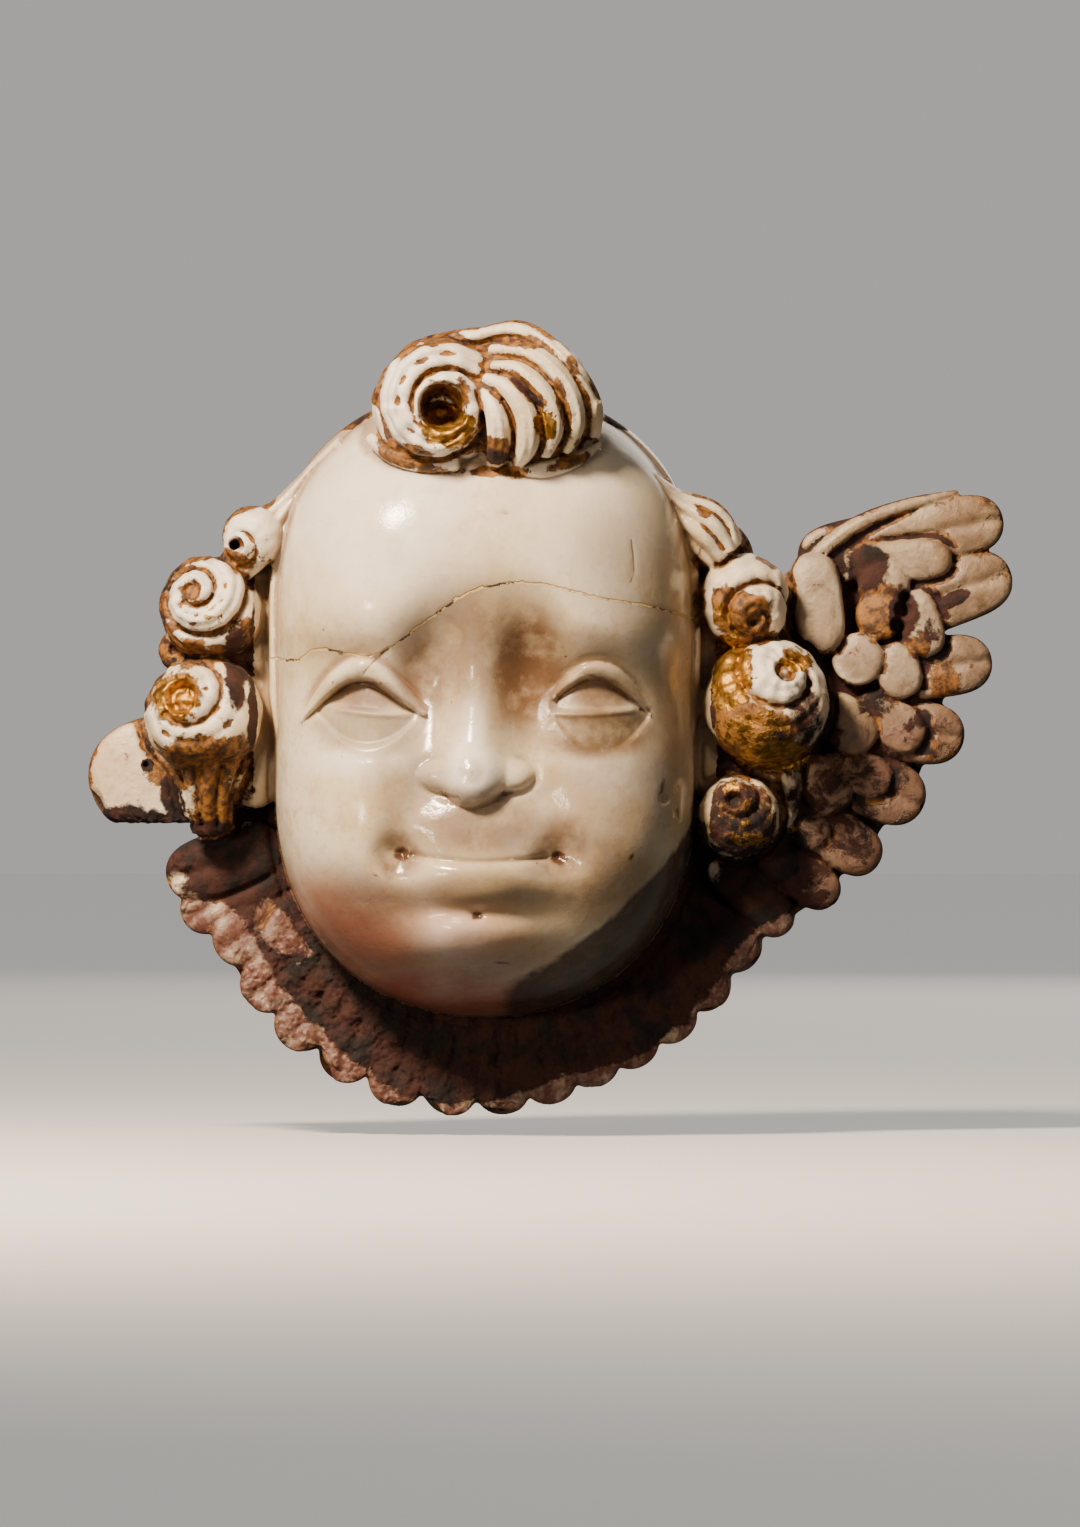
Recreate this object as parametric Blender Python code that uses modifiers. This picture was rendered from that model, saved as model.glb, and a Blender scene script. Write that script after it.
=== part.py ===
"""A cherub's head between wings: an alabaster wall relief carved from one block, with a flat back.

The left wing is broken off near its root, and the right end of the block is a whole wing.
Sizes in this file are millimetres; MM turns them to metres where a mesh is made.
x runs to the viewer's right, z runs up, and "out" is the distance from the wall towards the viewer.
The origin is on the flat back, behind the eyes' middle line.
"""

import math

import bmesh
import bpy
import numpy as np
from mathutils import Matrix, Vector

MM = 0.001

# Driving dimensions of the head.
HEAD_MIDDLE_X = 1.0
HEAD_HALF_WIDTH = 42.2
CROWN_TOP = 71.0
CHIN_BOTTOM = -55.6
STRAIGHT_SIDES = (-5.0, 22.0)
FOREHEAD_OUT = 50.0
CHEEK_OUT = 46.0
WIDEST_OUT = 10.0
ROUNDING = 0.75
HAIRLINE_OUT = 22.0

# The block: its wall face, how far the blank reaches behind it, and the carving's fineness.
BEHIND_WALL = 3.0
VOXEL = 0.68
TRIANGLES = 9750
FACE_FACETS = 6e-5

STONE_COLOUR = (0.80, 0.72, 0.60, 1.0)
STONE_ROUGHNESS = 0.35

forms = []

for leftover in list(bpy.data.objects):
    bpy.data.objects.remove(leftover)


def smooth(low, high, value):
    """0 below low, 1 above high and an S-curve between. With low above high it falls instead."""
    t = np.clip((value - low) / (high - low), 0.0, 1.0)
    return t * t * (3.0 - 2.0 * t)


def bump(x, z, middle_x, middle_z, width, height, turn=0.0):
    """A soft hill of height 1. A turn in degrees tips its long side up towards the right."""
    c, s = math.cos(math.radians(turn)), math.sin(math.radians(turn))
    along = (x - middle_x) * c + (z - middle_z) * s
    across = (z - middle_z) * c - (x - middle_x) * s
    return np.exp(-0.5 * ((along / width) ** 2 + (across / height) ** 2))


def through(points, steps=12):
    """A smooth line through the given points, as rows of numbers."""
    rows = np.array(points, float)
    ends = np.vstack([2 * rows[0] - rows[1], rows, 2 * rows[-1] - rows[-2]])
    line = []
    for k in range(1, len(ends) - 2):
        before, start, stop, after = ends[k - 1 : k + 3]
        for t in np.arange(steps) / steps:
            line.append(
                0.5
                * (
                    2 * start
                    + (stop - before) * t
                    + (2 * before - 5 * start + 4 * stop - after) * t**2
                    + (3 * start - before - 3 * stop + after) * t**3
                )
            )
    line.append(rows[-1])
    return np.array(line)


def from_line(x, z, points, steps=6):
    """The distance from a smooth line, positive on its left, and the place along it from 0 to 1."""
    line = through(points, steps)
    nearest = np.full(np.shape(x), 1e9)
    place = np.zeros(np.shape(x))
    sign = np.ones(np.shape(x))
    for k in range(len(line) - 1):
        (ax, az), (bx, bz) = line[k], line[k + 1]
        length2 = (bx - ax) ** 2 + (bz - az) ** 2
        t = np.clip(((x - ax) * (bx - ax) + (z - az) * (bz - az)) / length2, 0, 1)
        away = np.hypot(x - ax - t * (bx - ax), z - az - t * (bz - az))
        closer = away < nearest
        nearest = np.where(closer, away, nearest)
        place = np.where(closer, (k + t) / (len(line) - 1), place)
        side = (bx - ax) * (z - az) - (bz - az) * (x - ax)
        sign = np.where(closer, np.where(side < 0, -1.0, 1.0), sign)
    return nearest * sign, place


def beside(x, z, points, width, taper=0.15):
    """1 on a smooth line through the points, falling off beside it and towards its ends."""
    away, place = from_line(x, z, points)
    ends = smooth(0, taper, place) * smooth(1, 1 - taper, place)
    return np.exp(-0.5 * (away / width) ** 2) * ends


def add_form(mesh, name):
    form = bpy.data.objects.new(name, mesh)
    bpy.context.scene.collection.objects.link(form)
    forms.append(form)
    return form


def moulded(name, segments, rings, shape):
    """A UV sphere whose unit points are moved by shape to x, out and z."""
    turn = np.arange(segments) * 2 * math.pi / segments
    tilt = np.arange(1, rings) * math.pi / rings
    ux = np.append(np.outer(np.sin(tilt), np.cos(turn)).ravel(), [0.0, 0.0])
    uy = np.append(np.outer(np.sin(tilt), np.sin(turn)).ravel(), [0.0, 0.0])
    uz = np.append(np.repeat(np.cos(tilt), segments), [1.0, -1.0])
    x, out, z = shape(ux, uy, uz)
    here = np.arange(segments)
    ahead = (here + 1) % segments
    rows = np.arange(rings - 2)[:, None] * segments
    bands = np.stack([rows + here, rows + segments + here, rows + segments + ahead, rows + ahead], axis=2)
    last = (rings - 2) * segments
    top = [(len(ux) - 2, int(a), int(b)) for a, b in zip(here, ahead)]
    bottom = [(len(ux) - 1, last + int(b), last + int(a)) for a, b in zip(here, ahead)]
    mesh = bpy.data.meshes.new(name)
    points = (np.stack([x, -out, z], axis=1) * MM).tolist()
    mesh.from_pydata(points, [], bands.reshape(-1, 4).tolist() + top + bottom)
    return add_form(mesh, name)


# The head: horizontal slices, each a rounded half oval, and the features raised on their front.


def half_width(z):
    low, high = STRAIGHT_SIDES
    below = np.clip((low - z) / (low - CHIN_BOTTOM), 0, 1)
    above = np.clip((z - high) / (CROWN_TOP - high), 0, 1)
    return HEAD_HALF_WIDTH * np.sqrt(1 - below**2.65) * np.sqrt(1 - above**2.8)


def profile(z):
    """How far out the head's middle line stands, before its features are added."""
    above = np.clip((z - 30) / (CROWN_TOP - 30), 0, 1)
    below = np.clip((-15 - z) / (-15 - CHIN_BOTTOM), 0, 1)
    middle = CHEEK_OUT + (FOREHEAD_OUT - CHEEK_OUT) * smooth(-12, 30, z)
    return WIDEST_OUT + (middle - WIDEST_OUT) * np.sqrt(1 - above**2.4) * np.sqrt(1 - below**2.6)


EYE_MIDDLE_X = 0.5
EYE = (21.8, 4.8)
EYE_HALF = (10.8, 8.4)
# For each eye, measured outwards from the face's middle: the crease and the rim of the fleshy fold over
# it, the fold's height, the sharp edge where the lid ends, the bare eye below that edge as its middle,
# bottom and half width, and the brow's height z.
EYELIDS = {
    -1: (
        [(12.4, 5.0), (16.0, 7.2), (19.4, 9.6), (23.0, 11.4), (27.0, 10.6), (31.5, 7.2), (36.0, 3.2)],
        [(11.0, 6.0), (15.2, 11.0), (20.2, 15.2), (25.0, 16.4), (29.6, 13.8), (32.8, 10.0), (36.2, 4.4)],
        3.0,
        [(14.4, 5.0), (19.0, 5.0), (24.0, 5.4), (30.4, 6.2)],
        (22.8, -1.2, 10.2),
        24.5,
    ),
    1: (
        [(14.6, 8.0), (17.0, 9.8), (20.8, 11.8), (24.6, 11.4), (28.6, 9.0), (33.0, 4.8)],
        [(14.0, 9.0), (16.2, 12.2), (20.4, 15.0), (25.6, 15.0), (29.8, 11.6), (33.4, 5.8)],
        1.8,
        [(13.8, 5.2), (18.0, 5.1), (23.0, 5.2), (31.0, 6.0)],
        (24.0, -2.6, 9.8),
        21.5,
    ),
}


def eye(x, z, side):
    """Relief of one eye and its socket, with x measured outwards from the face's middle."""
    px, pz = EYE
    crease, rim, height, edge, bare, brow = EYELIDS[side]
    ball = np.clip(1 - ((x - px) / EYE_HALF[0]) ** 2 - ((z - pz) / EYE_HALF[1]) ** 2, 0, 1)
    relief = (
        2.2 * bump(x, z, 24.0, brow, 11.5, 5.0)
        - 2.4 * bump(x, z, px, 9.0, 11.5, 7.0)
        - 4.2 * bump(x, z, 9.6, 12.5, 5.2, 8.2)
        - 1.4 * bump(x, z, 8.8, 20.0, 5.0, 6.0)
        + 1.6 * ball
        + 0.5 * bump(x, z, px, -4.6, 9.0, 2.6)
    )
    near = (np.abs(x - 23) < 16) & (np.abs(z - 7) < 14)
    nx, nz = x[near], z[near]
    crease_z = np.interp(nx, *through(crease).T)
    over_crease = np.where(nz > crease_z, 1, -1) * np.abs(from_line(nx, nz, crease)[0])
    rim_away, place = from_line(nx, nz, rim)
    under_rim = np.where(nz < np.interp(nx, *through(rim).T), 1, -1) * np.abs(rim_away)
    a, b = np.clip(over_crease, 0, None), np.clip(under_rim, 0, None)
    within = (nx > rim[0][0]) & (nx < rim[-1][0])
    fold = 2 * np.sqrt(a * b) / np.maximum(a + b, 0.3) * np.clip((a + b) / 3.6, 0, 1) * within
    ends = smooth(0, 0.12, place) * smooth(1, 0.88, place)
    rim_cut = 0.22 * height * np.exp(-0.5 * ((under_rim + 0.5) / 0.7) ** 2) * ends
    crease_cut = 0.9 * beside(nx, nz, crease, 0.42, 0.06)
    edge_z = np.interp(nx, *through(edge).T)
    over_edge = nz - edge_z
    first, last = edge[0][0], edge[-1][0]
    at_edge = smooth(first - 1.0, first + 1.5, nx) * smooth(last + 1.0, last - 2.5, nx)
    lid = smooth(-0.3, 1.4, over_edge) * smooth(crease_z + 0.3, crease_z - 0.5, nz) * at_edge
    low = bare[1] + (edge_z - bare[1]) * ((nx - bare[0]) / bare[2]) ** 2
    down = np.clip((edge_z - nz) / np.maximum(edge_z - low, 0.5), 0, 1)
    lens = (0.25 + 0.75 * down) * smooth(0.3, -0.1, over_edge) * smooth(low - 1.2, low + 1.0, nz)
    lens = lens * smooth(0.0, 1.4, edge_z - low)
    ridge = np.exp(-0.5 * ((over_edge + 0.1) / 0.36) ** 2) * at_edge
    relief[near] += height * fold - rim_cut - crease_cut - 1.0 * lid - 1.1 * lens + 0.45 * ridge
    return relief


# The nose's tip is x, z, radius and rise. Its base spreads to the wings: x, z, half width, half height, rise.
NOSE_TIP = (-1.2, -7.0, 6.6, 8.6)
NOSE_BASE = (-0.6, -7.6, 11.4, 3.7, 3.2)
# Height z and rise of the ridge, from the nose's base up to the brow.
NOSE_RIDGE = (
    (-12.0, 0.0), (-9.5, 4.0), (-6.0, 6.6), (-1.0, 5.6), (4.0, 4.4), (10.0, 2.8), (16.0, 1.3), (24.0, 0.0),
)


def nose(x, z):
    """The bridge, the round tip and the thin wings of the nose, blended into one form."""
    tip_x, tip_z, tip_radius, tip_rise = NOSE_TIP
    ridge = np.interp(z, *zip(*NOSE_RIDGE)) * np.exp(-0.5 * ((x - tip_x) / (5.0 - 0.03 * z)) ** 2)
    tip = tip_rise * np.clip(1 - ((x - tip_x) ** 2 + (z - tip_z) ** 2) / tip_radius**2, 0, 1) ** 0.6
    middle_x, base_z, base_width, base_height, base_rise = NOSE_BASE
    across = np.abs(x - middle_x)
    far = (across / base_width) ** 2.4 + (np.abs(z - base_z - 0.08 * across) / base_height) ** 2
    base = base_rise * np.clip(1 - far, 0, 1) ** 0.45 + 0.7 * bump(across, z, 8.4, -6.8, 2.2, 1.8)
    blend = 1.1
    joined = sum(np.exp(height / blend) for height in (ridge, tip, base))
    groove = 0.5 * np.exp(-0.5 * ((far - 1.15) / 0.22) ** 2) * smooth(6.5, 9.5, across)
    nostril = 1.0 * bump(across, z, 6.0, -11.0, 2.0, 0.8, 14)
    return blend * np.log(joined / 3) - groove - nostril


MOUTH_X = 0.2
MOUTH_LINE = [(-14.2, -22.6), (-7.5, -23.7), (0.0, -24.2), (7.5, -23.9), (14.4, -23.2)]
MOUTH_CORNERS = ((-15.3, -22.5), (15.4, -23.2))
SMILE_FOLD = [(9.0, -7.0), (13.0, -13.0), (16.5, -20.0), (18.5, -28.0)]
CHIN = (-1.6, -39.8, 9.4, 4.9)


def mouth(x, z):
    across = np.abs(x - MOUTH_X)
    muzzle = np.exp(-0.5 * ((across / 12.0) ** 2 + ((z + 21.0) / 9.5) ** 2) ** 1.5)
    relief = (
        2.8 * muzzle
        + 0.8 * bump(x, z, MOUTH_X, -17.0, 6.0, 4.0)
        - 1.5 * beside(across, z, SMILE_FOLD, 3.0, 0.3)
        - 0.4 * bump(x, z, MOUTH_X, -17.5, 1.8, 3.0)
        + 3.6 * np.exp(-0.5 * (((x + 0.4) / 10.6) ** 2 + ((z + 28.6) / 4.2) ** 2) ** 1.35)
        - 0.6 * beside(x, z, MOUTH_LINE, 0.7, 0.05)
        - 0.5 * beside(x, z, MOUTH_LINE, 0.3, 0.03)
        - 1.4 * bump(x, z, MOUTH_X, -34.0, 7.0, 1.5)
        + 5.8 * np.exp(-0.5 * (((x - CHIN[0]) / CHIN[2]) ** 2 + ((z - CHIN[1]) / CHIN[3]) ** 2) ** 1.35)
    )
    for corner_x, corner_z in MOUTH_CORNERS:
        relief = relief - 2.2 * bump(x, z, corner_x, corner_z, 3.4, 2.8)
        relief = relief - 0.7 * smooth(1.6, 0.2, np.hypot(x - corner_x, 1.15 * (z - corner_z)))
    return relief


def face(x, z):
    """Everything raised or sunk on the front of the head."""
    relief = nose(x, z) + mouth(x, z)
    for side in (-1, 1):
        out_from = side * (x - EYE_MIDDLE_X)
        cheek = ((out_from - 27.0) / 11.5) ** 2 + ((z + 17.0) / 13.5) ** 2
        relief = relief + 4.8 * np.exp(-0.5 * cheek**1.4) + eye(out_from, z, side)
        relief = relief + 1.4 * bump(out_from, z, 21.0, 39.0, 13.0, 10.0)
    return relief


def head(ux, uy, uz):
    z = np.where(uz > 0, uz * (CROWN_TOP - 8), uz * (8 - CHIN_BOTTOM)) + 8
    z = np.clip(z, CHIN_BOTTOM + 1e-3, CROWN_TOP - 1e-3)
    ring = np.maximum(np.hypot(ux, uy), 1e-9)
    side, front = ux / ring, -uy / ring
    x = HEAD_MIDDLE_X + half_width(z) * np.sign(side) * np.abs(side) ** ROUNDING
    depth = np.abs(front) ** ROUNDING
    ahead = WIDEST_OUT + (profile(z) - WIDEST_OUT) * depth
    behind = WIDEST_OUT - (WIDEST_OUT + BEHIND_WALL) * np.abs(front) ** 0.3
    hair = 1.3 * smooth(HAIRLINE_OUT + 1.2, HAIRLINE_OUT - 1.2, ahead) * smooth(-2, 10, z)
    x = x + hair * np.sign(side)
    out = np.where(front > 0, ahead + face(x, z) * smooth(0.0, 0.55, depth), behind)
    return x, out, z


moulded("head", 300, 240, head)


# Curls: balls cut by a spiral groove that winds in to a drilled eye.

CURL_GROOVE = 0.26


def curl(name, middle, radius, axis, hand, turns, start, eye_size, drilled=0.3, cut=1.0):
    """axis is where the curl's eye looks, as x, out and z. hand is 1 or -1, for the way it winds."""
    turned = np.array(Vector((axis[0], -axis[1], axis[2])).to_track_quat("Z", "Y").to_matrix())

    def shape(ux, uy, uz):
        from_eye = np.arccos(np.clip(uz, -1, 1))
        seen = np.where(from_eye < math.pi / 2, np.sin(from_eye), 2 - np.sin(from_eye))
        turn = hand * np.arctan2(uy, ux) / (2 * math.pi)
        phase = turn + turns * seen + start
        across = phase - np.floor(phase)
        groove = 1 - np.sin(math.pi * across) ** 0.5
        strand = np.abs(np.sin(3 * math.pi * across))
        carved = smooth(1.5, 1.05, seen) * smooth(0.6 * eye_size, 1.3 * eye_size, seen)
        reach = radius * (1 - carved * cut * (CURL_GROOVE * groove + 0.03 * strand))
        hole = drilled * radius * smooth(eye_size, 0.55 * eye_size, seen) * (uz > 0)
        moved = turned @ np.stack([ux * reach, uy * reach, uz * reach - hole])
        return middle[0] + moved[0], middle[1] - moved[1], middle[2] + moved[2]

    moulded(name, 72, 56, shape)


CURLS = {
    "topknot_left": ((-8.6, 41.0, 66.6), 14.0, (0.12, 1.0, -0.08), 1, 2.0, 0.55, 0.4, 0.5),
    "left_small": ((-45.2, 21.0, 40.6), 6.6, (-0.7, 1.0, -0.35), 1, 1.2, 0.3, 0.3),
    "left_upper": ((-53.6, 19.0, 26.6), 10.6, (-0.42, 1.0, 0.36), -1, 1.9, 0.2, 0.22, 0.12),
    "left_ring": ((-60.0, 13.0, 17.8), 4.6, (-0.4, 1.0, 0.1), 1, 1.2, 0.0, 0.3),
    "left_lower": ((-55.4, 20.0, 5.0), 12.2, (-0.42, 1.0, 0.36), -1, 1.4, 0.1, 0.34, 0.2, 0.6),
    "right_upper": ((53.0, 19.0, 27.8), 9.6, (0.25, 1.0, -0.5), 1, 1.6, 0.5, 0.22, 0.15),
    "right_large": ((57.2, 20.0, 7.8), 13.0, (0.40, 1.0, 0.62), 1, 1.5, 0.4, 0.24, 0.15, 0.6),
    "right_small": ((51.4, 18.0, -15.2), 8.6, (-0.1, 1.0, 0.45), -1, 1.3, 0.2, 0.26, 0.2, 0.6),
}
for curl_name, curl_sizes in CURLS.items():
    curl(curl_name, *curl_sizes)


# Locks: grooved tubes, a curve swept with a fluted outline and thinner at its ends.


def fluted_outline():
    """The outline of a lock of five strands, of radius 1 mm, which each lock's radii enlarge."""
    turns = np.arange(40) * 2 * math.pi / 40
    reach = 0.86 + 0.14 * np.abs(np.cos(2.5 * turns))
    outline = bpy.data.curves.new("fluted_outline", "CURVE")
    outline.dimensions = "2D"
    spline = outline.splines.new("POLY")
    spline.points.add(len(turns) - 1)
    for point, turn, r in zip(spline.points, turns, reach):
        point.co = (r * math.cos(turn) * MM, r * math.sin(turn) * MM, 0, 1)
    spline.use_cyclic_u = True
    guide = bpy.data.objects.new("fluted_outline", outline)
    bpy.context.scene.collection.objects.link(guide)
    guide.hide_render = True
    return guide


LOCK_OUTLINE = fluted_outline()


def lock(name, points):
    """points are rows of x, out, z and radius."""
    line = through(points, 5)
    curve = bpy.data.curves.new(name, "CURVE")
    curve.dimensions = "3D"
    curve.bevel_mode = "OBJECT"
    curve.bevel_object = LOCK_OUTLINE
    curve.use_fill_caps = True
    spline = curve.splines.new("POLY")
    spline.points.add(len(line) - 1)
    for point, (x, out, z, radius) in zip(spline.points, line):
        point.co = (x * MM, -out * MM, z * MM, 1)
        point.radius = radius
    swept = bpy.data.objects.new(name, curve)
    bpy.context.scene.collection.objects.link(swept)
    bpy.context.view_layer.update()
    mesh = bpy.data.meshes.new_from_object(swept.evaluated_get(bpy.context.evaluated_depsgraph_get()))
    bpy.data.objects.remove(swept)
    work = bmesh.new()
    work.from_mesh(mesh)
    bmesh.ops.remove_doubles(work, verts=work.verts, dist=1e-7)
    work.to_mesh(mesh)
    work.free()
    add_form(mesh, name)


# Each row is x, out, z and radius.
LOCKS = {
    "crown": [(-18.0, 36, 72.0, 1.4), (-12.6, 38, 76.6, 2.4), (-5.0, 40, 78.8, 2.5), (3.0, 40, 80.2, 2.0)],
    "under_left": [
        (-22.0, 38.5, 60, 1.2), (-17.0, 42, 56.6, 2.2), (-11.0, 44, 54.8, 2.4), (-4.0, 46, 54.6, 1.6),
    ],
    "under_right": [
        (8.0, 46, 53.6, 1.4), (13.0, 44.4, 53.4, 2.2), (18.4, 41.6, 55.4, 2.2), (23.5, 37, 59.0, 1.2),
    ],
    "left_temple": [
        (-27.0, 26, 59, 2.0), (-33.0, 22, 52.5, 2.6), (-38.0, 20, 46, 3.8), (-43.5, 20, 40, 4.6),
        (-50.5, 19, 33, 3.6),
    ],
    "left_tail": [(-54.0, 18, -3, 8.4), (-54.5, 17, -11, 5.6), (-53.6, 14, -18, 4.2)],
    "right_temple": [
        (25.5, 31, 57.5, 2.2), (31.5, 27, 52.5, 2.8), (38.0, 23, 47, 3.8), (44.6, 21, 42.4, 6.0),
        (49.0, 20, 37, 4.6),
    ],
    "right_strap": [(61.0, 14, -2, 3.4), (62.0, 12, -10, 2.6), (60.5, 11, -18, 2.2), (57.0, 11, -24, 1.6)],
}
for lock_name, lock_points in LOCKS.items():
    lock(lock_name, lock_points)


# The right half of the top-knot: locks that fan from the parting over a ball. Rows are x, z and radius.
BALL = (8.4, 37.5, 66.4)
BALL_RADIUS = 14.6
FAN = [
    [(0.0, 80.4, 1.5), (8.6, 80.4, 2.7), (16.4, 74.2, 3.0), (21.6, 66.6, 2.8), (22.6, 59.6, 1.5)],
    [(2.0, 77.0, 1.2), (10.0, 76.0, 2.4), (16.2, 70.4, 2.7), (18.6, 63.0, 2.5), (17.0, 57.0, 1.3)],
    [(2.4, 74.0, 1.0), (8.0, 72.6, 2.0), (12.8, 68.0, 2.3), (14.6, 62.0, 2.3), (13.0, 56.0, 1.2)],
    [(1.0, 71.5, 1.2), (6.0, 69.0, 2.2), (9.2, 64.0, 2.6), (9.4, 58.6, 2.5), (7.0, 53.4, 1.3)],
    [(-0.4, 70.0, 1.2), (3.2, 65.0, 2.4), (4.0, 58.6, 2.6), (2.2, 52.6, 1.4)],
]
moulded("topknot_ball", 48, 32, lambda ux, uy, uz: (
    BALL[0] + BALL_RADIUS * ux, BALL[1] - BALL_RADIUS * uy, BALL[2] + BALL_RADIUS * uz
))
for k, strand in enumerate(FAN):
    rows = []
    for x, z, radius in strand:
        aside = (x - BALL[0]) ** 2 + (z - BALL[2]) ** 2
        rows.append((x, BALL[1] + math.sqrt(max(BALL_RADIUS**2 - aside, 9)) + 0.4, z, radius))
    lock(f"topknot_fan_{k}", rows)


# Feathers: flat tongues with a domed front, each standing on the block's back.


def feather(name, root, tip, half, outs, dome=2.0, vein=0.5, floor_z=None):
    """root and tip are x and z. outs are how far the rim stands out at its root and tip."""
    along = np.array(tip, float) - np.array(root, float)
    length = math.hypot(*along)
    ax, az = along / length

    def shape(ux, uy, uz):
        share = (ux + 1) / 2
        ring = np.maximum(np.hypot(uy, uz), 1e-9)
        front, side = uz / ring, uy / ring
        blunt = np.clip(1 - np.abs(ux) ** (length / half), 0, 1) ** 0.5
        reach = np.where(front > 0, np.abs(side) ** 0.9, np.abs(side) ** 0.3)
        across = half * blunt * np.sign(side) * reach
        rim = outs[0] + (outs[1] - outs[0]) * share
        quill = vein * np.exp(-0.5 * (across / 0.8) ** 2) * smooth(0.15, 0.4, share)
        top = rim + (dome * blunt - quill) * np.abs(front) ** 0.8
        back = rim - (rim + BEHIND_WALL) * np.abs(front) ** 0.3
        out = np.where(front > 0, top, back)
        x = root[0] + ax * share * length - az * across
        z = root[1] + az * share * length + ax * across
        if floor_z is not None:
            z = np.maximum(z, floor_z + 0.35 * np.sin(1.9 * x) * np.sin(0.8 * out + 1.0))
        return x, out, z

    moulded(name, 44, 32, shape)


# The right wing's flight feathers, from the top edge downwards: root, tip and half width.
FLIGHT = [
    ((64.0, 36.0), (105.0, 44.6), 6.3),
    ((80.0, 24.0), (106.5, 34.0), 6.6),
    ((78.0, 13.0), (102.8, 16.0), 6.2),
    ((74.0, 4.0), (97.2, 0.2), 6.4),
    ((68.0, -4.0), (89.0, -13.5), 6.6),
    ((60.0, -12.0), (80.0, -25.0), 5.6),
    ((54.0, -18.0), (71.4, -32.7), 4.8),
    ((47.0, -23.0), (62.0, -38.4), 4.8),
]
for k, (root, tip, half) in enumerate(FLIGHT):
    feather(f"flight_{k}", root, tip, half, (10.0, 9.0 - 0.15 * k))

# Coverts: shorter scales that lie over the flight feathers, each row higher than the one it covers.
COVERTS = [
    ((74.0, 35.5), (94.6, 36.5), 3.6, 11.0), ((76.0, 30.0), (86.0, 33.0), 4.2, 11.6),
    ((86.0, 30.0), (90.6, 17.0), 3.6, 11.4), ((76.0, 27.5), (84.5, 22.5), 4.4, 12.2),
    ((82.0, 20.0), (85.4, 8.4), 4.0, 11.6), ((72.0, 20.0), (79.5, 12.5), 4.6, 12.4),
    ((76.0, 9.0), (88.5, -1.0), 4.2, 10.8), ((68.0, 8.0), (78.5, -1.5), 4.6, 11.8),
    ((70.0, -2.0), (82.0, -10.0), 4.0, 10.6), ((64.0, -4.0), (73.0, -14.0), 4.4, 11.2),
    ((60.0, -12.0), (69.0, -21.0), 4.0, 10.4), ((56.0, -18.0), (62.0, -28.0), 3.8, 10.0),
]
for k, (root, tip, half, rise) in enumerate(COVERTS):
    feather(f"covert_{k}", root, tip, half + 0.6, (rise + 0.6, rise - 0.6), 1.5, 0.0)

feather("wing_shoulder", (69.0, 17.0), (66.5, 38.0), 5.0, (12.0, 11.0), 3.8, 0.0)
LEADING_EDGE = [
    (62, 10, 30.5, 1.4), (68, 11, 37.4, 1.9), (76, 11, 43.4, 1.8), (86, 10, 47.2, 1.5), (96, 9, 49.6, 0.8),
]
lock("leading_edge", LEADING_EDGE)

# The collar: feathers that fan out below the head. Tips are x and z, from right to left.
COLLAR_TIPS = [
    (56.0, -44.0), (49.2, -52.6), (41.6, -59.6), (33.2, -65.2), (24.6, -69.4),
    (15.2, -73.0), (4.8, -75.4), (-6.4, -75.4), (-18.4, -73.4), (-29.4, -68.2), (-39.2, -61.4),
    (-46.8, -52.8), (-53.0, -42.6),
]
COLLAR_CENTRE = (0.0, -12.0)
for k, tip in enumerate(COLLAR_TIPS):
    inward = np.array(COLLAR_CENTRE) - np.array(tip)
    feather(f"collar_{k}", np.array(tip) + inward * 0.36, tip, 6.2, (7.0, 9.0 + 0.5 * (k % 2)), 1.3)
    if k < len(COLLAR_TIPS) - 1:
        between = (np.array(tip) + np.array(COLLAR_TIPS[k + 1])) / 2
        inner = np.array(COLLAR_CENTRE) + (between - np.array(COLLAR_CENTRE)) * 0.84
        feather(f"collar_inner_{k}", inner * 0.7, inner, 5.0, (8.4, 9.4), 0.9)

# What is left on the broken side: the wing's stub, sheared off below, and the collar's torn end.
feather("left_stub", (-40.0, -2.0), (-78.6, -9.4), 11.8, (10.0, 7.0), 2.5, 0.0, floor_z=-16.6)
feather("torn_end", (-40.0, -20.0), (-62.8, -28.6), 6.4, (9.0, 8.0), 2.0)
feather("torn_end_lower", (-38.0, -24.0), (-59.6, -36.4), 5.6, (8.0, 7.5), 1.6)

# The block itself: a plate under the wing and collar, and thicker beds under the curls.
PLATE_THICK = 7.5
PLATE = [
    (-30, 55), (-38, 46), (-44, 45), (-49.5, 40), (-53, 34.5), (-60.5, 27.5), (-63, 20), (-63, 14),
    (-65.5, 7), (-64, -8), (-54, -18), (-53, -22), (-60, -26.5), (-58.4, -34), (-53.4, -39),
    (-47.2, -48.6), (-40.4, -55.4), (-31, -63), (-19, -69.5), (-6, -73), (5, -73), (16, -70.2),
    (26.4, -65.6), (36, -60), (44.6, -53.6), (51.4, -46.6), (58, -38.6), (67.4, -32.4), (78, -21.6),
    (88.4, -6.4), (93, 8), (92.4, 21), (97, 29), (100.4, 38.6), (97, 47), (84, 46), (72, 41), (63.5, 33),
    (61, 31), (55, 35.5), (46, 42.5), (36, 50), (26, 58),
]


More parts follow.
